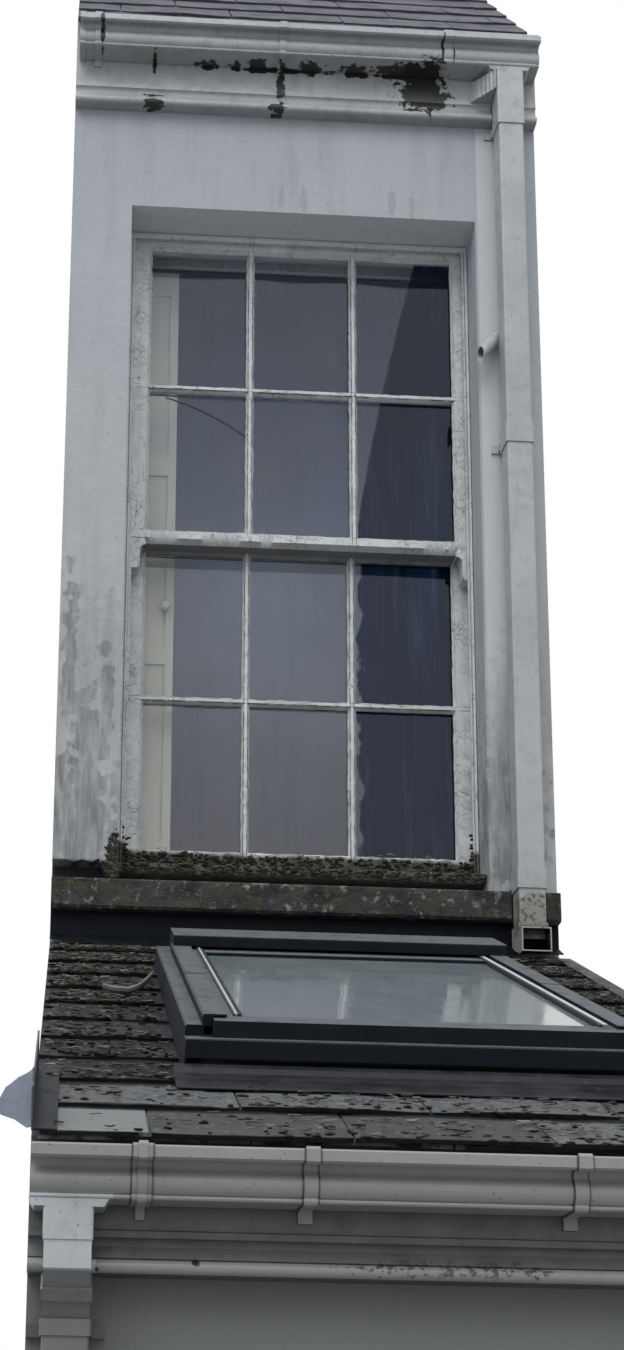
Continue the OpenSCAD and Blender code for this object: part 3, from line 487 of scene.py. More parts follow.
lichenStone = {
    "dark": (0.009, 0.010, 0.012),
    "pale": (0.045, 0.047, 0.046),
    "clouds": dict(Scale=14.0, Detail=9.0, From=0.36, To=0.66),
    "layers": [
        ((0.24, 0.24, 0.20), 0.8, dict(Scale=38.0, Detail=8.0, From=0.55, To=0.66)),
        ((0.055, 0.052, 0.028), 0.6,
         dict(Scale=20.0, Detail=9.0, Stretch=(1.0, 1.0, 1.6), From=0.48, To=0.62))],
    "grains": [(150.0, 1.0), (40.0, 1.0, 8.0)],
    "bump": (0.9, 0.005),
}


def makeLead(name, dark, pale, bloomed, metal, shine):
    bloom = dict(Scale=44.0, Detail=6.0, From=0.6, To=0.74)
    spec = {"dark": dark, "pale": pale, "clouds": dict(Scale=12.0, Detail=7.0, From=0.35, To=0.7),
            "layers": [((0.3, 0.31, 0.32), bloomed, bloom)], "roughness": (0.42, 0.68),
            "grains": [(70.0, 1.0), (14.0, 1.0)], "bump": (0.4, 0.003)}
    return plainMaterial(name, spec, Metallic=metal, Specular_IOR_Level=shine)


def makeTimber(name, dark, pale):
    figure = dict(Scale=9.0, Detail=6.0, Stretch=(1.0, 14.0, 14.0), From=0.35, To=0.68)
    spec = {"dark": dark, "pale": pale, "clouds": figure, "bump": (0.3, 0.001)}
    return plainMaterial(name, spec, Roughness=0.7)


def makeMineral(name, dark, pale, scale):
    spec = {"dark": dark, "pale": pale, "clouds": dict(Scale=scale, Detail=8.0, From=0.35, To=0.68),
            "grains": [(160.0, 1.0), (30.0, 1.0)], "bump": (0.5, 0.003)}
    return plainMaterial(name, spec, Roughness=0.9)


oldPaint = {
    "paint": (0.60, 0.615, 0.62),
    "shade": (0.42, 0.43, 0.43),
    "shaded": dict(Scale=14.0, Detail=7.0, From=0.4, To=0.7),
    "shadeShare": 0.5,
    "timber": (0.10, 0.095, 0.085),
    "timberShare": 0.8,
    "cracks": dict(Scale=48.0, Crack=0.035),
    "layers": [
        ((0.11, 0.11, 0.10), 0.35, dict(Scale=22.0, Detail=6.0, Stretch=(9.0, 9.0, 0.35), From=0.6, To=0.68)),
        ((0.11, 0.11, 0.10), 0.6, dict(Scale=60.0, Detail=8.0, From=0.6, To=0.72))],
    "middle": 0.006,
    "barAcross": 0.137,  # the cracked joints between putty and bars
    "barLevels": [3.627, 4.4815],
    "grooveOff": 0.0052,
    "groove": (0.0013, 0.0007),
    "grooveShare": 0.85,
    "broken": dict(Scale=30.0, Detail=6.0, From=0.42, To=0.52),
    "paintedShade": (0.125, 0.128, 0.13),  # painted shade under the meeting rails, and a little under every edge
    "paintedShadeFacing": dict(From=-0.3, To=-0.9),
    "paintedShadeShare": (0.12, 0.85),  # elsewhere, and under the meeting rails
    "meeting": [("Z", 4.05, 4.045), ("Z", 4.02, 4.025)],
    "moss": [(0.018, 0.018, 0.013), (0.095, 0.09, 0.065)],
    "mossTop": 3.213,  # moss grows on everything below this height
    "mossHigher": 0.2,  # and this much higher on the sill
    "mossEdge": 0.006,
    "mossWaver": dict(Waver=0.03, Scale=26.0),
    "mossClouds": dict(Scale=70.0, Detail=8.0, From=0.35, To=0.7),
    "fleck": (0.26, 0.26, 0.23),
    "flecks": dict(Scale=120.0, Detail=3.0, From=0.66, To=0.7),
    "gaps": dict(Scale=18.0, Detail=8.0, From=0.28, To=0.36),
    "grain": (120.0, 4.0),  # scale and detail
    "mossGrain": (70.0, 8.0),
    "grainShare": 0.6,
    "bump": (0.8, 0.0016),
}


def groovePair(tree, coordinate, centre, spec):
    return ramp(tree, away(tree, away(tree, coordinate, centre), spec["grooveOff"]), *spec["groove"])


def makeOldPaint(spec, name="oldPaint", loss=0.0, mossy=False):
    material, tree = startMaterial(name, Roughness=0.62)
    split = axes(tree)
    colour = lay(tree, spec["paint"], spec["shade"], clouds(tree, spec["shaded"]), spec["shadeShare"])
    bare = useGroup(tree, "peel", **spec["cracks"], Loss=loss)
    colour = lay(tree, colour, spec["timber"], bare, spec["timberShare"])
    colour = weather(tree, colour, spec["layers"])
    grooves = [groovePair(tree, away(tree, split["X"], spec["middle"]), spec["barAcross"], spec)]
    grooves += [groovePair(tree, split["Z"], level, spec) for level in spec["barLevels"]]
    joints = times(tree, chain(tree, "MAXIMUM", grooves), clouds(tree, spec["broken"]))
    colour = lay(tree, colour, spec["timber"], joints, spec["grooveShare"])
    # painted shade on downward faces, strongest under the meeting rails
    below = useGroup(tree, "facing", **spec["paintedShadeFacing"])
    shadeStrength = ramp(tree, inLimits(tree, split, spec["meeting"]), 0.0, 1.0, *spec["paintedShadeShare"])
    colour = lay(tree, colour, spec["paintedShade"], below, shadeStrength)
    top = spec["mossTop"] + (spec["mossHigher"] if mossy else 0.0)
    edge = spec["mossEdge"]
    low = useGroup(tree, "height", Low=top + edge, High=top - edge, **spec["mossWaver"])
    green = mixColour(tree, clouds(tree, spec["mossClouds"]), *spec["moss"])
    green = lay(tree, green, spec["fleck"], clouds(tree, spec["flecks"]))
    colour = lay(tree, colour, green, low, clouds(tree, spec["gaps"]))
    flakes = useGroup(tree, "peel", "Height", **spec["cracks"], Loss=loss)
    tufts = times(tree, low, grain(tree, *spec["mossGrain"]))
    rough = times(tree, calc(tree, "ADD", grain(tree, *spec["grain"]), tufts), spec["grainShare"])
    return endMaterial(material, colour, calc(tree, "ADD", flakes, rough), *spec["bump"])


windowGlass = {
    "tint": (0.74, 0.80, 1.0),  # of what it reflects
    "clear": (0.98, 0.93, 0.88),
    "high": (0.89, 0.94, 1.0),  # the upper sash looks bluer
    "highWhere": [("Z", 4.038, 4.138), ("Z", 4.90, 4.82), ("X", -0.36, -0.28)],
    "highClouds": dict(Scale=2.4, Detail=2.0, From=0.3, To=0.62),
    # painted reflection of a neighbouring wing: a dark bent shape with paler streaks over the right-hand
    # panes
    "dark": (0.03, 0.07, 0.135),
    "reflectionStreak": (0.13, 0.19, 0.27),
    "reflectionStreaks": dict(Scale=5.0, Detail=3.0, Stretch=(7.0, 1.0, 0.5), From=0.52, To=0.66),
    "meeting": 4.038,
    "reflectionFrom": 0.150,  # the painted reflection reaches this far left at the meeting rails
    "reflectionLean": 0.20,
    "bend": 1.3,
    "lowEdge": 0.166,
    "ripple": (0.008, 0.055),  # how far its edge wanders, above and below the meeting rails
    "ripples": (26.0, 3.0),  # scale and detail
    "rippleStretch": (1.0, 1.0, 0.8),
    "soft": 0.003,
    "cracked": (0.03, 0.035, 0.045),
    "crack": {"from": -0.352, "to": -0.137, "z": 4.462, "slope": -0.26, "bend": -1.1,
              "half": (0.0024, 0.0012)},
    "grain": (5.5, 1.0),
    "bump": (0.3, 0.01),
}


# painted reflection: the mask of the dark bent shape over the right-hand panes
def paintedReflection(tree, split, spec):
    above = calc(tree, "MAXIMUM", calc(tree, "SUBTRACT", split["Z"], spec["meeting"]), 0.0)
    lean = times(tree, calc(tree, "POWER", above, spec["bend"]), spec["reflectionLean"])
    edge = calc(tree, "ADD", lean, spec["reflectionFrom"])
    low = ramp(tree, split["Z"], spec["meeting"] + 0.002, spec["meeting"] - 0.002)
    stretched = vectorCalc(tree, "MULTIPLY", objectPoint(tree), spec["rippleStretch"])
    ripples = noiseAt(tree, stretched, *spec["ripples"])
    wander = swing(tree, ripples, ramp(tree, low, 0.0, 1.0, *spec["ripple"]))
    across = calc(tree, "SUBTRACT", split["X"], mixValue(tree, low, edge, spec["lowEdge"]))
    return ramp(tree, calc(tree, "ADD", across, wander), -spec["soft"], spec["soft"])


def curvedCrack(tree, split, crack):
    along = calc(tree, "SUBTRACT", split["X"], crack["from"])
    curve = calc(tree, "ADD", times(tree, along, along, crack["bend"]), times(tree, along, crack["slope"]))
    off = away(tree, calc(tree, "SUBTRACT", split["Z"], crack["z"]), curve)
    ends = inLimits(tree, split, [("X", crack["from"] - 0.001, crack["from"] + 0.001),
                                  ("X", crack["to"] + 0.001, crack["to"] - 0.001)])
    return times(tree, ramp(tree, off, *crack["half"]), ends)


def makeWindowGlass(spec):
    material, tree = startMaterial(
        "windowGlass", Roughness=0.01, IOR=1.5, Transmission_Weight=1.0, Specular_IOR_Level=0.43,
        Specular_Tint=spec["tint"])
    split = axes(tree)
    high = times(tree, inLimits(tree, split, spec["highWhere"]), clouds(tree, spec["highClouds"]))
    clear = mixColour(tree, high, spec["clear"], spec["high"])
    # the painted reflection's colour, dark with paler streaks
    dark = mixColour(tree, clouds(tree, spec["reflectionStreaks"]), spec["dark"], spec["reflectionStreak"])
    colour = lay(tree, clear, dark, paintedReflection(tree, split, spec))
    colour = lay(tree, colour, spec["cracked"], curvedCrack(tree, split, spec["crack"]))
    return endMaterial(material, colour, grain(tree, *spec["grain"]), *spec["bump"])


shoeLow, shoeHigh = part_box("downpipe_shoe")
plasticDust = dict(Scale=30.0, Detail=9.0, From=0.5, To=0.74)
plasticBlack = (0.018, 0.02, 0.018)
brownSpots = [((0.529, -0.24, 2.99), (0.06, 0.06, 0.05)), ((0.529, -0.24, 3.03), (0.05, 0.06, 0.03))]
neckWhere = [("X", -0.5175, -0.518), ("X", -0.5900, -0.5895)]
plastic = {
    "white": (0.44, 0.455, 0.47),
    "aged": (0.35, 0.36, 0.365),
    "ageing": dict(Scale=5.0, Detail=6.0, From=0.35, To=0.7),
    "layers": [
        ((0.12, 0.12, 0.115), 0.35, plasticDust),
        ((0.12, 0.12, 0.115), 0.3, dict(Scale=7.0, Detail=6.0, Stretch=(7.0, 7.0, 0.8), From=0.56, To=0.76))],
    # painted shade on downward faces
    "below": [((0.12, 0.12, 0.115), 0.45, [("facing", -0.4, -1.0)])],
    "lowGrime": (0.215, 0.215, 0.205),  # a film over the lower gutter
    "lowFrom": dict(Low=2.2, High=2.12, Waver=0.01, Scale=9.0),
    "boardGrimeAndShade": (0.038, 0.040, 0.038),  # and over the fascia behind it, darker still as painted shade under the gutter
    "boardWhere": [("Y", -1.898, -1.896)],
    "film": dict(Scale=7.0, From=0.3, To=0.7),
    "filmShare": (0.82, 0.98),
    "newerWhere": [("X", -0.496, -0.498), ("Z", 2.0455, 2.0445)],  # the newer, cleaner outlet and neck
    "gutterFoot": ("Z", 1.985, 1.99),
    "gutterFace": ("Y", -1.899, -1.901),
    # dark lines beside the lower gutter's brackets: dirt, and painted shade where the brackets meet the
    # gutter
    "edges": [-0.473, -0.444, -0.238, -0.216, 0.136, 0.158, 0.510, 0.532],
    "edgeHalf": (0.0022, 0.0008),
    "edgeShare": 0.75,
    "boardStains": [
        {"colour": plasticBlack, "strength": 0.8, "ragged": 1.2, "scale": 30.0,
         "spots": [((-0.02, -1.90, 1.958), (0.16, 0.05, 0.014)), ((0.32, -1.90, 1.962), (0.10, 0.05, 0.010))],
         "clouds": dict(Scale=110.0, Detail=5.0, From=0.48, To=0.56)}],
    "areas": [
        # painted shade: the upper downpipe darker than the gutter, and more so towards its foot
        ((0.27, 0.275, 0.27), 1.0,
         [("X", 0.484, 0.488), ("Z", 5.0, 4.9), ("Z", 3.10, 3.0, 0.28, 0.8), ("Z", 2.5, 2.6)]),
        # painted shade inside the mouth of its shoe
        ((0.012, 0.014, 0.02), 1.0,
         [("X", shoeLow[0] + 0.001, shoeLow[0] + 0.002), ("X", shoeHigh[0] - 0.001, shoeHigh[0] - 0.002),
          ("Y", shoeLow[1] + 0.001, shoeLow[1] + 0.002), ("Y", shoeHigh[1] - 0.001, shoeHigh[1] - 0.002),
          ("Z", 2.80, 2.82), ("Z", 2.975, 2.965)]),
        # painted shade on the lower neck's underside, and on everything below it
        ((0.085, 0.088, 0.088), 0.9, neckWhere + [("Z", 1.9415, 1.9405), ("Z", 1.911, 1.912)]),
        ((0.075, 0.077, 0.075), 0.85, [("Z", 1.913, 1.911)])],
    "specks": [(plasticBlack, 0.7, dict(Scale=170.0, Detail=2.0, From=0.69, To=0.73))],
    "stains": [
        {"colour": (0.16, 0.135, 0.10), "strength": 0.6, "ragged": 1.4, "scale": 26.0, "spots": brownSpots},
        {"colour": plasticBlack, "strength": 0.85, "ragged": 1.4, "scale": 26.0, "spots": brownSpots,
         "clouds": dict(Scale=95.0, Detail=6.0, From=0.52, To=0.6)},
        {"colour": plasticBlack, "strength": 1.0, "ragged": 1.15, "scale": 62.0, "spots": [  # black growth
            ((-0.265, -0.180, 5.334), (0.030, 0.022, 0.009)), ((-0.19, -0.178, 5.334), (0.018, 0.02, 0.008)),
            ((-0.13, -0.185, 5.334), (0.030, 0.034, 0.012)), ((0.008, -0.185, 5.334), (0.037, 0.032, 0.012)),
            ((0.125, -0.182, 5.334), (0.037, 0.03, 0.011)), ((0.27, -0.19, 5.334), (0.095, 0.04, 0.011)),
            ((-0.04, -0.176, 5.334), (0.15, 0.010, 0.006)), ((-0.070, -0.18, 5.290), (0.012, 0.05, 0.072)),
            ((-0.078, -0.187, 5.213), (0.020, 0.05, 0.012)), ((0.308, -0.18, 5.283), (0.072, 0.05, 0.064)),
            ((0.325, -0.2, 5.33), (0.036, 0.06, 0.035)), ((-0.405, -0.185, 5.243), (0.026, 0.05, 0.007)),
            ((-0.405, -0.187, 5.213), (0.030, 0.05, 0.009)), ((-0.405, -0.18, 5.33), (0.006, 0.05, 0.022)),
            ((0.352, -0.25, 5.365), (0.004, 0.06, 0.045)), ((0.381, -0.25, 5.36), (0.003, 0.06, 0.030)),
            ((-0.545, -0.25, 5.37), (0.006, 0.06, 0.04)), ((-0.379, -1.91, 1.959), (0.006, 0.03, 0.006)),
            ((-0.5165, -1.91, 1.946), (0.004, 0.05, 0.004)),
            ((-0.518, -1.91, 1.918), (0.004, 0.05, 0.009))]}],
    "roughness": (0.34, 0.62),
    "grains": [(90.0, 1.0), (9.0, 2.0)],
    "bump": (0.16, 0.002),
}


def makeWhitePlastic(spec):
    material, tree = startMaterial("whitePlastic")
    split = axes(tree)
    colour = mixColour(tree, clouds(tree, spec["ageing"]), spec["white"], spec["aged"])
    colour = weather(tree, colour, spec["layers"])
    colour = shade(tree, colour, spec["below"])
    board = inLimits(tree, split, spec["boardWhere"])
    gutter = inLimits(tree, split, [spec["gutterFoot"]])
    bare = calc(tree, "MAXIMUM", inLimits(tree, split, neckWhere), gutter)
    newer = times(tree, inLimits(tree, split, spec["newerWhere"]), without(tree, board), bare)
    low = times(tree, useGroup(tree, "height", **spec["lowFrom"]), without(tree, newer))
    film = ramp(tree, clouds(tree, spec["film"]), 0.0, 1.0, *spec["filmShare"])
    # grime over the lower gutter, and grime with painted shade over the fascia behind it
    colour = lay(tree, colour, mixColour(tree, board, spec["lowGrime"], spec["boardGrimeAndShade"]), low, film)
    colour = stain(tree, colour, spec["boardStains"])
    edges = [ramp(tree, away(tree, split["X"], edge), *spec["edgeHalf"]) for edge in spec["edges"]]
    front = inLimits(tree, split, [spec["gutterFace"]])
    # dark lines at the bracket edges: dirt and painted shade
    dirtAndShadeLines = times(tree, chain(tree, "MAXIMUM", edges), low, gutter, front)
    colour = lay(tree, colour, plasticBlack, dirtAndShadeLines, spec["edgeShare"])
    colour = shade(tree, colour, spec["areas"])
    colour = weather(tree, colour, spec["specks"])
    colour = stain(tree, colour, spec["stains"])
    roughness = ramp(tree, clouds(tree, plasticDust), 0.0, 1.0, *spec["roughness"])
    return endMaterial(material, colour, grains(tree, spec["grains"]), *spec["bump"], roughness)


leanTo = {"pitch": 24.0, "headY": -0.150, "headZ": 2.9110, "length": 1.9594, "courses": 11, "front": -1.0}
slateFilm = dict(Scale=12.0, Detail=9.0, From=0.46, To=0.66)
slateLook = {
    "dark": (0.009, 0.010, 0.012),
    "pale": (0.046, 0.048, 0.052),
    "brown": (0.017, 0.016, 0.014),
    "lichen": (0.20, 0.20, 0.18),
    "paleness": 1.6,
    "layers": [
        ((0.009, 0.010, 0.012), 0.55, dict(Scale=6.0, Detail=8.0, From=0.38, To=0.66)),
        ((0.017, 0.016, 0.014), 0.6, slateFilm),
        ((0.20, 0.20, 0.18), 0.6, dict(Scale=55.0, Detail=8.0, From=0.6, To=0.68)),
        ((0.15, 0.14, 0.06), 0.7, dict(Scale=46.0, Detail=7.0, Stretch=(1.0, 1.3, 1.7), From=0.63, To=0.7))],
    "clean": (0.122, 0.127, 0.130),  # the two lowest courses
    "cleanWhere": [("Z", 2.262, 2.254)],
    "cleanEach": (0.05, 0.4, 0.45, 1.0),  # some of their slates are cleaner than others
    "cleanShare": 0.72,
    "brownShare": 0.6,
    "lichenShare": 0.7,
    "spotted": dict(Scale=42.0, Detail=9.0, From=0.54, To=0.62),
    "paleSpots": dict(Scale=64.0, Detail=7.0, Stretch=(1.0, 1.0, 1.5), From=0.6, To=0.66),
    "dust": (0.20, 0.207, 0.205),
    "dustWhere": [("X", -0.449, -0.451)],  # the pale slate in the lowest course
    "dustCourse": (10.0, 10.02),
    "worn": dict(Scale=16.0, Detail=7.0, From=0.30, To=0.42),
    "wornShare": (0.35, 0.75),
    # the upper roof is paler
    "high": [((0.115, 0.12, 0.145), 0.6, [("Z", 5.0, 5.1)])],
    "line": (0.003, 0.003, 0.005),  # dirt and shadow under each tail
    "lineWhere": [("Z", 3.0, 2.95)],
    "lineWaver": (22.0, 0.05),
    "lineBelow": (0.17, 0.10),  # in shares of a course
    "lineOnTail": (0.975, 0.985),
    "lineShare": 0.97,
    "roughness": (0.55, 0.9),
    "grains": [(120.0, 1.0, 6.0), (22.0, 1.0, 8.0)],
    "bump": (0.6, 0.003),
}


def coursesDown(tree, split):  # courses counted from the head of the lean-to
    tilt = math.radians(leanTo["pitch"])
    gauge = leanTo["length"] / leanTo["courses"]
    start = (leanTo["headY"] * math.cos(tilt) + leanTo["headZ"] * math.sin(tilt)) / gauge
    back = times(tree, split["Y"], -math.cos(tilt) / gauge)
    return chain(tree, "ADD", [back, times(tree, split["Z"], -math.sin(tilt) / gauge), start])


def makeSlate(spec):
    material, tree = startMaterial("rivenSlate", Specular_IOR_Level=0.2)
    split = axes(tree)
    each = addNode(tree, "NewGeometry").outputs["Random Per Island"]
    colour = mixColour(tree, calc(tree, "POWER", each, spec["paleness"]), spec["dark"], spec["pale"])
    colour = weather(tree, colour, spec["layers"])
    down = coursesDown(tree, split)
    low = times(tree, inLimits(tree, split, spec["cleanWhere"]), ramp(tree, each, *spec["cleanEach"]))
    colour = lay(tree, colour, spec["clean"], low, spec["cleanShare"])
    colour = lay(tree, colour, spec["brown"], clouds(tree, spec["spotted"]), low, spec["brownShare"])
    colour = lay(tree, colour, spec["lichen"], clouds(tree, spec["paleSpots"]), low, spec["lichenShare"])
    dusty = times(tree, inLimits(tree, split, spec["dustWhere"]), ramp(tree, down, *spec["dustCourse"]))
    worn = ramp(tree, clouds(tree, spec["worn"]), 0.0, 1.0, *spec["wornShare"])
    colour = lay(tree, colour, spec["dust"], dusty, worn)
    colour = shade(tree, colour, spec["high"])
    share = calc(tree, "FRACT", calc(tree, "ADD", down, grains(tree, [spec["lineWaver"]])))
    bands = [ramp(tree, share, *spec[key]) for key in ("lineBelow", "lineOnTail")]
    line = times(tree, chain(tree, "MAXIMUM", bands), inLimits(tree, split, spec["lineWhere"]))
    colour = lay(tree, colour, spec["line"], line, spec["lineShare"])
    roughness = ramp(tree, clouds(tree, slateFilm), 0.0, 1.0, *spec["roughness"])
    return endMaterial(material, colour, grains(tree, spec["grains"]), *spec["bump"], roughness)


clumpLook = {"paleness": 2.1, "speckle": 240.0, "speckleShare": 0.5, "grain": 420.0, "bump": (0.8, 0.002)}


def makeClumps(name, dark, pale, rough=0.95):
    material, tree = startMaterial(name, Roughness=rough)
    each = addNode(tree, "NewGeometry").outputs["Random Per Island"]
    colour = mixColour(tree, calc(tree, "POWER", each, clumpLook["paleness"]), dark, pale)
    colour = lay(tree, colour, dark, grain(tree, clumpLook["speckle"]), clumpLook["speckleShare"])
    return endMaterial(material, colour, grain(tree, clumpLook["grain"]), *clumpLook["bump"])


cover = {
    "dark": (0.010, 0.012, 0.0165),
    "dust": (0.105, 0.111, 0.117),
    "shine": 0.12,
    "uneven": 1.5,  # how much paler its clouds are
    "clouds": dict(Scale=9.0, Detail=7.0, From=0.36, To=0.7),
    "dustClouds": dict(Scale=26.0, Detail=9.0, From=0.1, To=0.5),
    "upward": dict(From=0.25, To=0.85),
    "layers": [((0.03, 0.03, 0.028), 0.8, dict(Scale=120.0, Detail=4.0, From=0.66, To=0.72))],
    "roughness": (0.78, 0.7),
    "grain": 60.0,
    "bump": (0.15, 0.002),
}


def makeCover(name, spec):
    material, tree = startMaterial(name, Specular_IOR_Level=spec["shine"])
    uneven = tuple(channel * spec["uneven"] for channel in spec["dark"])
    colour = mixColour(tree, clouds(tree, spec["clouds"]), spec["dark"], uneven)
    dust = times(tree, useGroup(tree, "facing", **spec["upward"]), clouds(tree, spec["dustClouds"]))
    colour = weather(tree, lay(tree, colour, spec["dust"], dust), spec["layers"])
    roughness = ramp(tree, dust, 0.0, 1.0, *spec["roughness"])
    return endMaterial(material, colour, grain(tree, spec["grain"]), *spec["bump"], roughness)


greyLead = makeLead("greyLead", (0.009, 0.011, 0.015), (0.026, 0.029, 0.035), 0.10, 0.3, 0.35)
pine = makeTimber("lacqueredPine", (0.32, 0.20, 0.09), (0.52, 0.36, 0.18))
finishes = {
    "painted_render": makeWallPaint(wallPaint),
    "plain_render": plainMaterial("plainRender", plainRender, Roughness=0.9),
    "concrete": makeMineral("flatConcrete", (0.30, 0.30, 0.29), (0.42, 0.42, 0.40), 10.0),
    "floor_timber": makeTimber("floorTimber", (0.16, 0.11, 0.07), (0.30, 0.22, 0.14)),
    "old_paint": makeOldPaint(oldPaint),
    "mossy_paint": makeOldPaint(oldPaint, "mossyPaint", 0.3, True),
    "window_glass": makeWindowGlass(windowGlass),
    "inner_paint": plainMaterial("innerPaint", innerPaint, Roughness=0.45),
    "lichen_stone": plainMaterial("lichenStone", lichenStone, Roughness=0.93),
    # near-black lead: dark lead with painted shade from the stone sill above it
    "dark_lead": makeLead("darkLead", (0.002, 0.003, 0.006), (0.006, 0.008, 0.013), 0.01, 0.0, 0.08),
    "lead": addAreas(greyLead, [((0.20, 0.23, 0.28), 1.0, [("X", -0.6085, -0.614)])]),  # paler curled tail
    "white_plastic": makeWhitePlastic(plastic),
    "roof_timber": makeTimber("roofTimber", (0.18, 0.13, 0.08), (0.32, 0.24, 0.16)),
    "slate": makeSlate(slateLook),
    "ridge_clay": makeMineral("ridgeClay", (0.07, 0.065, 0.06), (0.19, 0.18, 0.17), 16.0),
    "pine": addAreas(pine, [((0.008, 0.009, 0.011), 1.0, [("Y", -1.505, -1.51)])]),  # dark outside
    "grey_cover": makeCover("greyCover", cover),
    "roof_glass": plainMaterial("roofGlass", roofGlass, IOR=1.52, Specular_IOR_Level=0.55),
}
slotOf = {part["node"]: part["material_slot"] for part in frame["record"]["subparts"]}
for nodeName, part in frame["nodes"].items():
    for place in part.material_slots:
        place.material = finishes[slotOf[nodeName]]
extras = {
    "moss": makeClumps("mossCushion", (0.008, 0.008, 0.006), (0.050, 0.048, 0.030)),
    "sillMoss": makeClumps("sillMoss", (0.018, 0.018, 0.013), (0.115, 0.110, 0.080)),
    "litter": makeClumps("leafLitter", (0.020, 0.018, 0.014), (0.42, 0.395, 0.335), 0.85),
    "chip": makeClumps("paintChip", (0.25, 0.25, 0.24), (0.55, 0.55, 0.54), 0.7),
    "rubber": startMaterial("blackGasket", Base_Color=(0.012, 0.012, 0.013), Roughness=0.6)[0],
    "curled": makeCover("paleLead", dict(cover, dark=(0.05, 0.053, 0.056), dust=(0.150, 0.155, 0.155))),
    "brightStrip": makeCover(
        "brightStrip", dict(cover, dark=(0.22, 0.23, 0.24), dust=(0.40, 0.41, 0.42), shine=0.5)),
}
print("materials made:", len(finishes) + len(extras))

# mesh helpers


def keepPiece(name, mesh, material, replaced=(), angle=None):
    mesh.materials.append(material)
    mesh.validate()
    if angle is not None:
        mesh.polygons.foreach_set("use_smooth", [True] * len(mesh.polygons))
        mesh.set_sharp_from_angle(angle=math.radians(angle))
    mesh.update()
    piece = addObject(name, mesh)
    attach(piece, "root")
    if replaced:
        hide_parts(*replaced)


def fromLists(name, points, faces, material, replaced=(), angle=None):
    mesh = bpy.data.meshes.new(name)
    mesh.from_pydata(points, [], faces)
    keepPiece(name, mesh, material, replaced, angle)


def fromBuilder(name, builder, material, replaced=(), angle=35.0):
    bmesh.ops.recalc_face_normals(builder, faces=builder.faces)
    mesh = bpy.data.meshes.new(name)
    builder.to_mesh(mesh)
    builder.free()
    keepPiece(name, mesh, material, replaced, angle)


def addBox(builder, low, high, bevel=0.0, place=None):
    made = bmesh.ops.create_cube(builder, size=1.0)["verts"]
    for vert in made:
        spot = [low[i] + (vert.co[i] + 0.5) * (high[i] - low[i]) for i in range(3)]
        vert.co = place(*spot) if place else Vector(spot)
    if bevel:
        edges = list({edge for vert in made for edge in vert.link_edges})
        bmesh.ops.bevel(builder, geom=edges, offset=bevel, segments=2, profile=0.5, affect="EDGES")


def addPrism(builder, outline, start, end, place, steps=1):
    rings = []
    for step in range(steps + 1):
        along = start + (end - start) * step / steps
        rings.append([builder.verts.new(place(along, a, b)) for a, b in outline])
    count = len(outline)
    for low, high in zip(rings, rings[1:]):
        for i in range(count):
            j = (i + 1) % count
            builder.faces.new((low[i], low[j], high[j], high[i]))
    builder.faces.new(rings[0])
    builder.faces.new(list(reversed(rings[-1])))


def wave(point, scale, seed=0.0):
    return noise.noise(Vector(point) * scale + Vector((seed, seed * 0.7, -seed)))


# roof slopes: x across, d down the slope from its head, n square to the boards

upperFront = {"pitch": 48.0, "headY": 0.550, "headZ": 6.2654, "length": 1.1537, "courses": 7, "front": -1.0}
upperRear = dict(upperFront, front=1.0)
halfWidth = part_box("window_wall")[1][0]


def onSlope(slope, x, d, n):
    tilt = math.radians(slope["pitch"])
    forward = d * math.cos(tilt) + n * math.sin(tilt)
    drop = d * math.sin(tilt) - n * math.cos(tilt)
    return Vector((x, slope["headY"] + slope["front"] * forward, slope["headZ"] - drop))


def onLean(x, d, n):
    return onSlope(leanTo, x, d, n)


roofWindow = {
    "middle": 0.008,
    "width": 0.780,
    "length": 1.180,
    "foot": 1.550,  # distance of the foot down the slope
    "tilt": 1.6,  # how much flatter it lies than the slates, in degrees
}
roofWindow["head"] = roofWindow["foot"] - roofWindow["length"]

slates = {
    "width": 0.298,
    "thick": 0.0065,
    "lift": 0.0095,  # how high the tail of a slate lies
    "cell": 0.03,
    "gap": 0.0035,
    "rough": (0.0011, 38.0),  # height and scale of its riven face
    "swell": (0.0012, 9.0),
    "warp": (-0.0015, 0.003),
    "chip": 0.006,
    "cornerChip": 0.008,
    "overlap": 1.9,  # length of a slate in courses
    "tilting": 0.003,  # lift of the doubled course at the eaves
    "slip": 0.004,
    "eavesSlip": 0.003,
    "uneven": 0.012,  # how much the widths differ
    "joints": [-0.4455, -0.3055],  # joints in the lowest course and the one above it
    "before": 3,  # how many widths before its joint a steady course starts
    "steadyFrom": 9,  # courses of the lean-to that are laid from these joints
    "narrower": 0.014,
    "underWindow": 0.03,  # how far slates run in under the roof window
    "starts": (0.05, 0.5),  # in widths, how far even and odd courses start beyond the left side
    "startShift": 0.03,
    "eavesShort": 0.004,
    "least": 0.025,  # no narrower slate is laid
    "leastPart": (0.02, 0.03),  # and no smaller piece of one beside the roof window
}


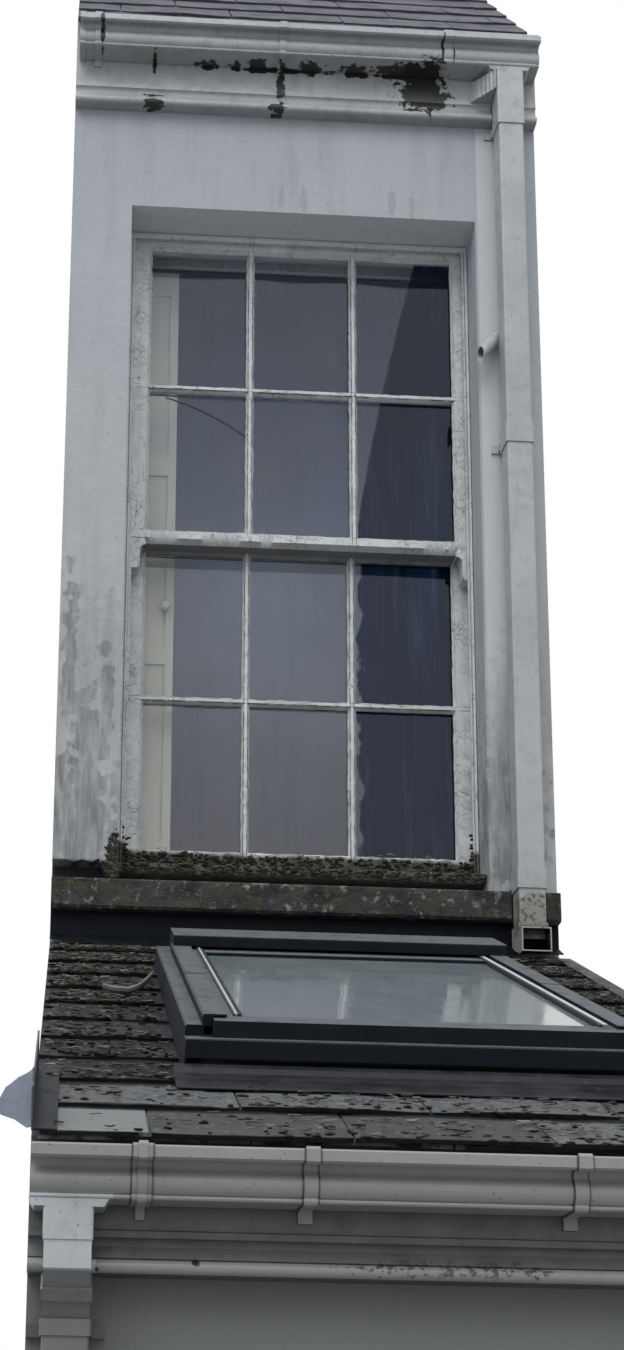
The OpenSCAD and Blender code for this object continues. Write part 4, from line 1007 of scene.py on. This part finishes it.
def addSlate(points, faces, slope, x0, x1, d0, d1, spec, rng, seed):
    across = max(2, round((x1 - x0) / spec["cell"]))
    down = max(2, round((d1 - d0) / spec["cell"]))
    length = d1 - d0
    faceWaves = (spec["rough"], spec["swell"])
    warp = rng.uniform(*spec["warp"])
    chips = [rng.uniform(0.0, 1.0) ** 3 * spec["chip"] for _ in range(across + 1)]
    for corner in (0, -1):
        chips[corner] += rng.uniform(0.0, spec["cornerChip"])
    first = len(points)
    for level in (1, 0):
        for j in range(down + 1):
            for i in range(across + 1):
                u, v = i / across, j / down
                x = x0 + (x1 - x0) * u
                d = d0 + length * v - (chips[i] if j == down else 0.0)
                base = spec["lift"] * v + warp * math.sin(math.pi * u) * v
                riven = sum(wave((x, d, seed), scale, seed) * high for high, scale in faceWaves)
                thick = spec["thick"] + (riven if level else -0.0004)
                points.append(onSlope(slope, x, d, base + (thick if level else 0.0)))
    sheet = (across + 1) * (down + 1)
    row = across + 1
    for j in range(down):
        for i in range(across):
            a = first + j * row + i
            faces.append((a, a + row, a + row + 1, a + 1))
            b = a + sheet
            faces.append((b, b + 1, b + row + 1, b + row))
    for i in range(across):
        for j in (0, down):
            a = first + j * row + i
            low, high = (a, a + 1) if j == 0 else (a + 1, a)
            faces.append((low, high, high + sheet, low + sheet))
    for j in range(down):
        for i in (0, across):
            a = first + j * row + i
            low, high = (a + row, a) if i == 0 else (a, a + row)
            faces.append((low, high, high + sheet, low + sheet))


def outsideWindow(x0, x1, d0, d1, hole):
    if not hole or x1 <= hole[0] or x0 >= hole[1] or d1 <= hole[2] or d0 >= hole[3]:
        return [(x0, x1, d0, d1)]
    parts = []
    if x0 < hole[0]:
        parts.append((x0, hole[0], d0, d1))
    if x1 > hole[1]:
        parts.append((hole[1], x1, d0, d1))
    inner0, inner1 = max(x0, hole[0]), min(x1, hole[1])
    if d0 < hole[2]:
        parts.append((inner0, inner1, d0, hole[2]))
    if d1 > hole[3]:
        parts.append((inner0, inner1, hole[3], d1))
    wide, long = slates["leastPart"]
    return [part for part in parts if part[1] - part[0] > wide and part[3] - part[2] > long]


def laySlates(points, faces, slope, spec, seed, hole=None):
    rng = random.Random(seed)
    gauge = slope["length"] / slope["courses"]
    for course in range(slope["courses"] + 1):
        lowest = course == slope["courses"]
        tail = slope["length"] - spec["eavesShort"] if lowest else (course + 1) * gauge
        head = max(0.0, tail - spec["overlap"] * gauge)
        lifted = dict(spec, lift=spec["tilting"]) if lowest else spec
        x = -halfWidth - spec["starts"][course % 2] * spec["width"] - rng.uniform(0.0, spec["startShift"])
        steady = slope is leanTo and course >= spec["steadyFrom"]
        if steady:
            x = spec["joints"][course % 2] - spec["before"] * spec["width"]
        while x < halfWidth:
            if steady:
                width = spec["width"] - (spec["narrower"] if x > spec["joints"][0] - 0.01 else 0.0)
            else:
                width = spec["width"] + rng.uniform(-spec["uneven"], spec["uneven"])
            x0, x1 = max(x, -halfWidth + 0.001), min(x + width - spec["gap"], halfWidth - 0.001)
            if course < slope["courses"] - 1:
                slip = rng.uniform(-spec["slip"], spec["slip"])
            else:
                slip = rng.uniform(-spec["eavesSlip"], 0.0)
            if x1 - x0 > spec["least"]:
                for part in outsideWindow(x0, x1, head, tail + slip, hole):
                    addSlate(points, faces, slope, *part, lifted, rng, seed + course * 7.3 + x * 3.1)
            x += width


def makeSlates(spec, window):
    half = window["width"] / 2 - spec["underWindow"]
    hole = (window["middle"] - half, window["middle"] + half,
            window["head"] + spec["underWindow"], window["foot"] - spec["underWindow"])
    points, faces = [], []
    laySlates(points, faces, leanTo, spec, 11, hole)
    fromLists("leanToSlates", points, faces, finishes["slate"], ["lean_to_slates"], 30.0)
    points, faces = [], []
    laySlates(points, faces, upperFront, spec, 23)
    laySlates(points, faces, upperRear, spec, 31)
    fromLists("upperRoofSlates", points, faces, finishes["slate"], ["upper_slates"], 30.0)


makeSlates(slates, roofWindow)
print("slates laid")

# sashes with putty, beads and horns: a across the member, b back from the sash's face, in metres

sashes = {
    "middle": 0.006,
    "width": 0.888,
    "stile": 0.042,
    "bar": 0.018,
    "thick": 0.044,
    "step": 0.009,
    "upper": {"face": -0.024, "foot": 4.034, "head": 4.937, "footRail": 0.038, "headRail": 0.046},
    "lower": {"face": 0.030, "foot": 3.148, "head": 4.072, "footRail": 0.072, "headRail": 0.038},
    "horn": {"long": 0.074, "round": 0.012, "toe": 0.014, "notch": 0.026, "shoulder": 0.022},
    "rough": 0.0024,
}


def edgeProfile(width, chamfer=0.0):
    back = [(width, 0.017), (width - 0.004, 0.030), (width - 0.005, 0.044), (0.0, 0.044)]
    nose = [(width - 0.0056, 0.0), (width - 0.0050, 0.0016), (width - 0.0046, 0.0006),
            (width + 0.0016, 0.0117)]
    start = [(0.0, chamfer), (chamfer, 0.0)] if chamfer else [(0.0, 0.0008), (0.0008, 0.0)]
    return start + nose + [(width, 0.0125)] + back


def barProfile(width):
    half = width / 2
    side = [(0.0038, 0.0), (0.0043, 0.0017), (0.0048, 0.0007), (half + 0.0014, 0.0117), (half, 0.0125),
            (half, 0.017), (0.005, 0.030), (0.0035, 0.044)]
    return side + [(-a, b) for a, b in reversed(side)]


puttyWear = {
    "skin": 0.002,  # depth of the outer face, which is chipped
    "skinRagged": 0.45,
    "restRagged": 0.25,
    "sideways": (9.0, 55.0),  # stretch and scale of the waves in its sides
    "inwards": (30.0, 42.0),  # and in its face
    "inShare": 0.8,
    "chip": 0.0012,
    "chipFrom": 0.32,
    "chipScale": 17.0,
    "puttyFoot": (0.010, 0.012),  # depths between which the putty's foot is raggedest
    "fades": 0.016,
}


def addMember(builder, profile, start, end, place, rough, seed, step):
    wear = puttyWear
    (aside, asideScale), (inwards, inScale) = wear["sideways"], wear["inwards"]
    steps = max(2, round((end - start) / step))

    def roughened(along, a, b):
        ragged = 1.0 if wear["puttyFoot"][0] < b < wear["puttyFoot"][1] else wear["restRagged"]
        ragged = ragged if b > wear["skin"] else wear["skinRagged"]
        da = wave((along, a * aside, b * aside), asideScale, seed) * rough * ragged
        fading = max(0.0, 1.0 - b / wear["fades"])
        db = abs(wave((along, a * inwards, 3.0), inScale, seed)) * rough * wear["inShare"] * fading
        if b < wear["skin"] and wave((along, a, 7.0), wear["chipScale"], seed + 4.0) > wear["chipFrom"]:
            db += wear["chip"]
        return place(along, a + da, b + db)

    addPrism(builder, profile, start, end, roughened, steps)


def addSash(builder, spec, size, seed):
    x0 = size["middle"] - size["width"] / 2
    x1 = size["middle"] + size["width"] / 2
    face, foot, head = spec["face"], spec["foot"], spec["head"]
    step, rough = size["step"], size["rough"]
    for side, edge in ((1.0, x0), (-1.0, x1)):
        addMember(builder, edgeProfile(size["stile"]), foot, head,
                  lambda t, a, b: Vector((edge + side * a, face + b, t)), rough, seed + side, step)
    inner0, inner1 = x0 + size["stile"] - 0.006, x1 - size["stile"] + 0.006
    meets = spec is size["upper"]  # its foot rail is the meeting rail, which runs past the stiles
    foot0, foot1, chamfer = (x0 + 0.001, x1 - 0.001, 0.012) if meets else (inner0, inner1, 0.0)
    addMember(builder, edgeProfile(spec["footRail"], chamfer), foot0, foot1,
              lambda t, a, b: Vector((t, face - 0.0004 + b, foot + a)), rough, seed + 2.0, step)
    addMember(builder, edgeProfile(spec["headRail"]), inner0, inner1,
              lambda t, a, b: Vector((t, face + b, head - a)), rough, seed + 3.0, step)
    paneWide = (size["width"] - 2 * size["stile"] - 2 * size["bar"]) / 3
    for i in (1, 2):
        middle = x0 + size["stile"] + i * paneWide + (i - 0.5) * size["bar"]
        addMember(builder, barProfile(size["bar"]),
                  foot + spec["footRail"] - 0.004, head - spec["headRail"] + 0.004,
                  lambda t, a, b: Vector((middle + a, face + b + 0.0003, t)), rough, seed + 5.0 + i, step)
    paneHigh = (head - foot - spec["footRail"] - spec["headRail"] - size["bar"]) / 2
    level = foot + spec["footRail"] + paneHigh + size["bar"] / 2
    addMember(builder, barProfile(size["bar"]), inner0, inner1,
              lambda t, a, b: Vector((t, face + b + 0.0006, level + a)), rough, seed + 9.0, step)


def addHorn(builder, size, side):
    spec, horn = size["upper"], size["horn"]
    edge = size["middle"] - side * size["width"] / 2
    wide, long, toe = size["stile"] - 0.002, horn["long"], horn["round"]
    hollow = wide - horn["notch"]
    outline = [(0.0, 0.001), (0.0, -long)]
    for i in range(7):
        turn = math.radians(-90 + 15 * i)
        outline.append((horn["toe"] + toe * math.cos(turn), -long + toe + toe * math.sin(turn)))
    for i in range(7):
        turn = math.radians(180 - 15 * i)
        outline.append((wide + hollow * math.cos(turn), -horn["shoulder"] + hollow * math.sin(turn)))
    outline.append((wide, 0.001))
    addPrism(builder, outline, 0.0, size["thick"],
             lambda t, a, b: Vector((edge + side * a, spec["face"] + t, spec["foot"] + b)))


def makeSashes(size):
    for key, seed, hornSides in (("upper", 3.0, (1.0, -1.0)), ("lower", 17.0, ())):
        builder = bmesh.new()
        addSash(builder, size[key], size, seed)
        for side in hornSides:
            addHorn(builder, size, side)
        fromBuilder(key + "Sash", builder, finishes["old_paint"], [key + "_sash"], 40.0)


makeSashes(sashes)

# thin beads along the lining

beads = {
    "foot": 3.153,
    "head": 4.914,
    "jambs": [(-0.4558, 0.0075, 0.010), (-0.4478, 0.006, 0.006), (0.4478, -0.0085, 0.012),
              (0.4388, -0.005, 0.006)],  # edge, width and depth
    "lining": -0.038,  # face of the lining behind the beads
    "headLevel": 4.9248,
    "headSpan": (-0.4555, 0.4475),
    "wander": 0.0006,
}


def makeBeads(spec):
    builder = bmesh.new()
    for start, wide, deep in spec["jambs"]:
        outline = [(0.0, 0.001), (0.0, -deep * 0.55), (wide * 0.3, -deep), (wide * 0.75, -deep * 0.9),
                   (wide, -deep * 0.3), (wide, 0.001)]

        def onJamb(t, a, b):
            return Vector((start + a + wave((t, a, b), 9.0, start) * spec["wander"], spec["lining"] + b, t))

        addPrism(builder, outline, spec["foot"], spec["head"], onJamb, 60)
    outline = [(0.0, 0.001), (-0.004, -0.007), (-0.011, -0.009), (-0.016, -0.003), (-0.016, 0.001)]
    addPrism(builder, outline, *spec["headSpan"],
             lambda t, a, b: Vector((t, spec["lining"] + b, spec["headLevel"] + a)), 30)
    fromBuilder("liningBeads", builder, finishes["old_paint"])


makeBeads(beads)
print("sashes and beads made")

# strips that hold the roof window's glass

glazing = {
    "inner": 0.298,  # from the window's middle to the edge of the glass
    "head": 0.466,
    "foot": 1.478,
    "top": 0.104,
    "deep": 0.006,
    "bevel": 0.0004,
    "pieces": {  # height, then side, start and end across for each
        "glazingStrips": (0.0014, "brightStrip", [(-1.0, 0.0010, 0.0042), (1.0, 0.0010, 0.0100)]),
        "glassGaskets": (0.0004, "rubber", [(-1.0, -0.0060, 0.0010), (1.0, -0.0045, 0.0010)])},
}


def onWindow(x, d, n):
    tilt = math.radians(roofWindow["tilt"])
    up = roofWindow["foot"] - d
    down = roofWindow["foot"] - up * math.cos(tilt) - n * math.sin(tilt)
    return onLean(x, down, n * math.cos(tilt) - up * math.sin(tilt))


def makeGlazing(spec):
    for name, (high, material, strips) in spec["pieces"].items():
        builder = bmesh.new()
        for side, start, end in strips:
            left, right = sorted(roofWindow["middle"] + side * (spec["inner"] + off) for off in (start, end))
            low = (left, spec["head"], spec["top"] - spec["deep"])
            addBox(builder, low, (right, spec["foot"], spec["top"] + high), spec["bevel"], onWindow)
        fromBuilder(name, builder, extras[material])


makeGlazing(glazing)
print("glazing strips made")

# moss and litter on the lean-to

growth = {
    "clumps": 1500,
    "flakes": 2400,
    "bare": 0.036,  # nothing lies just under a tail
    "atTails": 0.55,  # share of the clumps that gather at the tails
    "tailBand": (-0.045, -0.004),
    "edges": (0.01, 0.02),  # clear of the left and right sides
    "top": 0.1,
    "foot": {"clumps": 0.03, "flakes": 0.02},
    "clumpSize": (0.002, 0.0075),
    "clumpFlat": (0.3, 0.5),
    "larger": [(0.95, 1.2), (math.inf, 0.9)],  # clumps are larger near the head
    "flakeSize": (0.005, 0.021),
    "flakeLift": 0.002,
    "clear": {"side": 0.012, "head": 0.02, "foot": 0.095},  # of the roof window
    # limits, and how thick litter lies short of each
    "across": [(-0.34, 1.0), (0.42, 0.35), (math.inf, 0.75)],
    "down": [(0.95, 1.0), (1.6, 0.55)],
    "atEaves": [(-0.3, 0.14), (0.42, 0.9), (math.inf, 0.4)],
}
clump = {"long": 1.25, "bumps": 0.45, "bumpScale": 2.3}
flake = {
    "turn": 0.45,
    "tip": (-0.5, 0.5),
    "slim": (0.07, 0.34),
    "curl": (-0.3, 0.5),
    "taper": 1.5,
    "fold": 0.2,
    "thick": 0.0009,
    "lift": 0.002,
}


def slateTop(slope, d):
    gauge = slope["length"] / slope["courses"]
    share = (d % gauge) / gauge
    return slates["thick"] + slates["lift"] * (0.47 + 0.53 * share) + 0.001


def addClump(points, faces, template, spot, size, flat, rng):
    turn = Matrix.Rotation(rng.uniform(0.0, 6.28), 3, "Z")
    first = len(points)
    seed = rng.uniform(0.0, 90.0)
    for corner in template[0]:
        bump = 1.0 + clump["bumps"] * noise.noise(corner * clump["bumpScale"] + Vector((seed, 0.0, seed)))
        local = turn @ Vector((corner.x * clump["long"], corner.y, corner.z * flat)) * (size * bump)
        points.append(spot + local)
    faces.extend(tuple(first + i for i in face) for face in template[1])


def roundTemplate(subdivisions=1):
    builder = bmesh.new()
    bmesh.ops.create_icosphere(builder, subdivisions=subdivisions + 1, radius=1.0)
    corners = [vert.co.copy() for vert in builder.verts]
    faces = [tuple(vert.index for vert in face.verts) for face in builder.faces]
    builder.free()
    return corners, faces


def stepped(value, steps):
    return next(share for limit, share in steps if value < limit)


def littered(x, d, spec):  # thickest beside the roof window's head, thinnest on the pale slates at the eaves
    eaves = stepped(x, spec["atEaves"])
    return stepped(x, spec["across"]) * stepped(d, spec["down"] + [(math.inf, eaves)])


def isBare(x, d, spec, rng):
    window, clear = roofWindow, spec["clear"]
    beside = abs(x - window["middle"]) < window["width"] / 2 + clear["side"]
    if beside and window["head"] - clear["head"] < d < window["foot"] + clear["foot"]:
        return True
    gauge = leanTo["length"] / leanTo["courses"]
    return d % gauge < spec["bare"] or rng.random() > littered(x, d, spec)


def makeGrowth(spec):
    rng = random.Random(5)
    template = roundTemplate()
    gauge = leanTo["length"] / leanTo["courses"]
    left, right = -halfWidth + spec["edges"][0], halfWidth - spec["edges"][1]
    points, faces = [], []
    made = 0
    while made < spec["clumps"]:
        x = rng.uniform(left, right)
        course = rng.randrange(leanTo["courses"])
        if rng.random() < spec["atTails"]:
            d = (course + 1) * gauge + rng.uniform(*spec["tailBand"])
        else:
            d = rng.uniform(spec["top"], leanTo["length"] - spec["foot"]["clumps"])
        if isBare(x, d, spec, rng):
            continue
        size = rng.uniform(*spec["clumpSize"]) * stepped(d, spec["larger"])
        spot = onLean(x, d, slateTop(leanTo, d))
        addClump(points, faces, template, spot, size, rng.uniform(*spec["clumpFlat"]), rng)
        made += 1
    fromLists("mossClumps", points, faces, extras["moss"], (), 60.0)
    points, faces = [], []
    made = 0
    while made < spec["flakes"]:
        x = rng.uniform(left, right)
        d = rng.uniform(spec["top"], leanTo["length"] - spec["foot"]["flakes"])
        if isBare(x, d, spec, rng):
            continue
        spot = onLean(x, d, slateTop(leanTo, d) + spec["flakeLift"])
        addFlake(points, faces, spot, rng.uniform(*spec["flakeSize"]), rng)
        made += 1
    fromLists("leafLitter", points, faces, extras["litter"], (), 60.0)


def addFlake(points, faces, spot, size, rng, upright=False):
    turn = Matrix.Rotation(rng.gauss(0.0, flake["turn"]), 3, "Z")
    turn = turn @ Matrix.Rotation(rng.uniform(*flake["tip"]), 3, "X")
    if upright:
        turned = Matrix.Rotation(math.pi / 2 + rng.uniform(*flake["tip"]), 3, "Z")
        turn = turned @ Matrix.Rotation(math.pi / 2, 3, "Y") @ turn
    slim = rng.uniform(*flake["slim"])
    curl = rng.uniform(*flake["curl"])
    first = len(points)
    for level in (0.0, -flake["thick"]):
        for j in range(3):
            for i in range(4):
                u, v = i / 3 - 0.5, j / 2 - 0.5
                taper = 1.0 - flake["taper"] * u * u
                rise = curl * u * u * size + abs(v) * flake["fold"] * size * slim
                local = turn @ Vector((u * size, v * size * slim * taper, rise))
                points.append(spot + local + Vector((0.0, 0.0, level + flake["lift"])))
    sheet = 12
    for j in range(2):
        for i in range(3):
            a = first + j * 4 + i
            faces.append((a, a + 1, a + 5, a + 4))
            faces.append((a + sheet, a + sheet + 4, a + sheet + 5, a + sheet + 1))
    rim = [0, 1, 2, 3, 7, 11, 10, 9, 8, 4]
    for a, b in zip(rim, rim[1:] + rim[:1]):
        faces.append((first + b, first + a, first + a + sheet, first + b + sheet))


makeGrowth(growth)

# thin curled strip of lead beside the roof window

curledLead = {
    "from": (-0.498, 0.770),  # x and distance down the slope
    "to": (-0.398, 0.735),
    "rest": 0.71,  # where it rests on a slate
    "sag": 0.050,
    "rise": 0.022,
    "wide": 0.024,
    "thick": 0.0022,
    "steps": 16,
    "folds": 7,
}


def makeCurl(spec):
    builder = bmesh.new()
    outline = []
    for i in range(spec["folds"]):
        turn = math.radians(200 - 40 * i)
        outline.append((spec["wide"] / 2 * math.cos(turn), spec["wide"] / 3 * (1.0 + math.sin(turn))))
    outline += [(a * 0.78, spec["thick"] + (b - spec["thick"]) * 0.8 + 0.001) for a, b in reversed(outline)]

    def alongStrip(t, a, b):
        x, d = (start + (end - start) * t for start, end in zip(spec["from"], spec["to"]))
        lift = spec["rise"] * max(0.0, 2.0 * t - 1.0) ** 2 + 0.002 * wave((t, 0.0, 0.0), 9.0)
        sagged = d + spec["sag"] * math.sin(math.pi * t) + a
        return onLean(x, sagged, slateTop(leanTo, spec["rest"]) + 0.002 + b + lift)

    addPrism(builder, outline, 0.0, 1.0, alongStrip, spec["steps"])
    fromBuilder("curledLead", builder, extras["curled"])


makeCurl(curledLead)

# moss on the sill, and chips of paint on the sashes

sillGrowth = {
    "clumps": 1500,
    "onRail": 0.5,  # share on the lower sash's rail
    "onTop": 0.22,  # and on the sill's slope, the rest on its nosing
    "span": (-0.448, 0.446),
    "size": (0.002, 0.0075),
    "railFace": 0.030,
    "railBand": (3.151, 3.211),
    "railWave": (0.004, 30.0),
    "flat": (0.45, 0.8),
    "topFront": (-0.120, 3.133),
    "topBack": (0.145, 0.013),  # how far back and up its slope runs
    "nosing": -0.122,
    "nosingBand": (3.110, 3.131),
    "jambs": {"clumps": 90, "middle": 0.002, "span": (0.425, 0.449), "face": -0.036, "foot": 3.13,
              "spread": 0.05, "size": (0.002, 0.006), "flat": 0.6},
    "corner": {"clumps": 260, "at": (-0.458, -0.1505, 3.084), "spread": (0.012, 0.055), "narrows": 2.0,
               "size": (0.002, 0.007), "flat": 0.8},
    "chips": {"count": 70, "span": (-0.39, 0.40), "face": 0.026, "off": (-0.002, 0.001), "level": 3.216,
              "spread": 0.0035, "size": (0.004, 0.017)},
    "flakes": 240,
    "onUpper": 0.5,  # share on the upper sash
    "onBars": 0.6,  # and on the bars, the rest on the stiles
    "besideBar": (0.003, 0.010),
    "besideStile": 0.003,
    "flakeDepth": 0.006,
    "flakeSize": (0.003, 0.009),
    "flakeBands": {"upper": (4.06, 4.88), "lower": (3.22, 4.0)},
    "bars": [-0.1253, 0.1394],
    "stiles": (-0.398, 0.410),
}


def makeSillMoss(spec):
    rng = random.Random(12)
    template = roundTemplate()
    points, faces = [], []
    for _ in range(spec["clumps"]):
        x = rng.uniform(*spec["span"])
        pick = rng.random()
        if pick < spec["onRail"]:
            reach, scale = spec["railWave"]
            high = rng.uniform(*spec["railBand"]) + reach * wave((x, 0.0, 0.0), scale)
            spot = Vector((x, spec["railFace"], high))
        elif pick < spec["onRail"] + spec["onTop"]:
            back = rng.uniform(0.0, 1.0)
            y, z = (front + reach * back for front, reach in zip(spec["topFront"], spec["topBack"]))
            spot = Vector((x, y, z))
        else:
            spot = Vector((x, spec["nosing"], rng.uniform(*spec["nosingBand"])))
        addClump(points, faces, template, spot, rng.uniform(*spec["size"]), rng.uniform(*spec["flat"]), rng)
    jambs, corner = spec["jambs"], spec["corner"]
    for side in (-1.0, 1.0):
        for _ in range(jambs["clumps"]):
            across = jambs["middle"] + side * rng.uniform(*jambs["span"])
            spot = Vector((across, jambs["face"], jambs["foot"] + abs(rng.gauss(0.0, jambs["spread"]))))
            addClump(points, faces, template, spot, rng.uniform(*jambs["size"]), jambs["flat"], rng)
    for _ in range(corner["clumps"]):
        high = abs(rng.gauss(0.0, corner["spread"][1]))
        aside = abs(rng.gauss(0.0, corner["spread"][0])) * (1.0 - corner["narrows"] * high)
        spot = Vector(corner["at"]) + Vector((-aside, 0.0, high))
        addClump(points, faces, template, spot, rng.uniform(*corner["size"]), corner["flat"], rng)
    fromLists("sillMoss", points, faces, extras["sillMoss"], (), 60.0)
    makePaintChips(spec, rng)


def makePaintChips(spec, rng):
    points, faces = [], []
    chips = spec["chips"]
    for _ in range(chips["count"]):
        x, y = rng.uniform(*chips["span"]), chips["face"] + rng.uniform(*chips["off"])
        spot = Vector((x, y, chips["level"] + rng.gauss(0.0, chips["spread"])))
        addFlake(points, faces, spot, rng.uniform(*chips["size"]), rng)
    for _ in range(spec["flakes"]):
        key = "upper" if rng.random() < spec["onUpper"] else "lower"
        z = rng.uniform(*spec["flakeBands"][key])
        if rng.random() < spec["onBars"]:
            x = rng.choice(spec["bars"]) + rng.choice((-1.0, 1.0)) * rng.uniform(*spec["besideBar"])
        else:
            x = rng.choice(spec["stiles"]) + rng.gauss(0.0, spec["besideStile"])
        face = sashes[key]["face"] + rng.uniform(0.0, spec["flakeDepth"])
        addFlake(points, faces, Vector((x, face, z)), rng.uniform(*spec["flakeSize"]), rng, True)
    fromLists("paintChips", points, faces, extras["chip"], (), 60.0)


makeSillMoss(sillGrowth)
print("moss and litter scattered")

# floor


def makeFloor(spec):
    size = spec["floorSize"]
    mesh = bpy.data.meshes.new("paleFloor")
    corners = [(-size, -size, 0), (size, -size, 0), (size, size, 0), (-size, size, 0)]
    mesh.from_pydata(corners, [], [(0, 1, 2, 3)])
    material, tree = startMaterial("paleFloor", Roughness=0.95)
    seen = addNode(tree, "LightPath").outputs["Is Camera Ray"]
    mesh.materials.append(endMaterial(material, mixColour(tree, seen, spec["floorBounce"], spec["floor"])))
    addObject("paleFloor", mesh)


makeFloor(light)
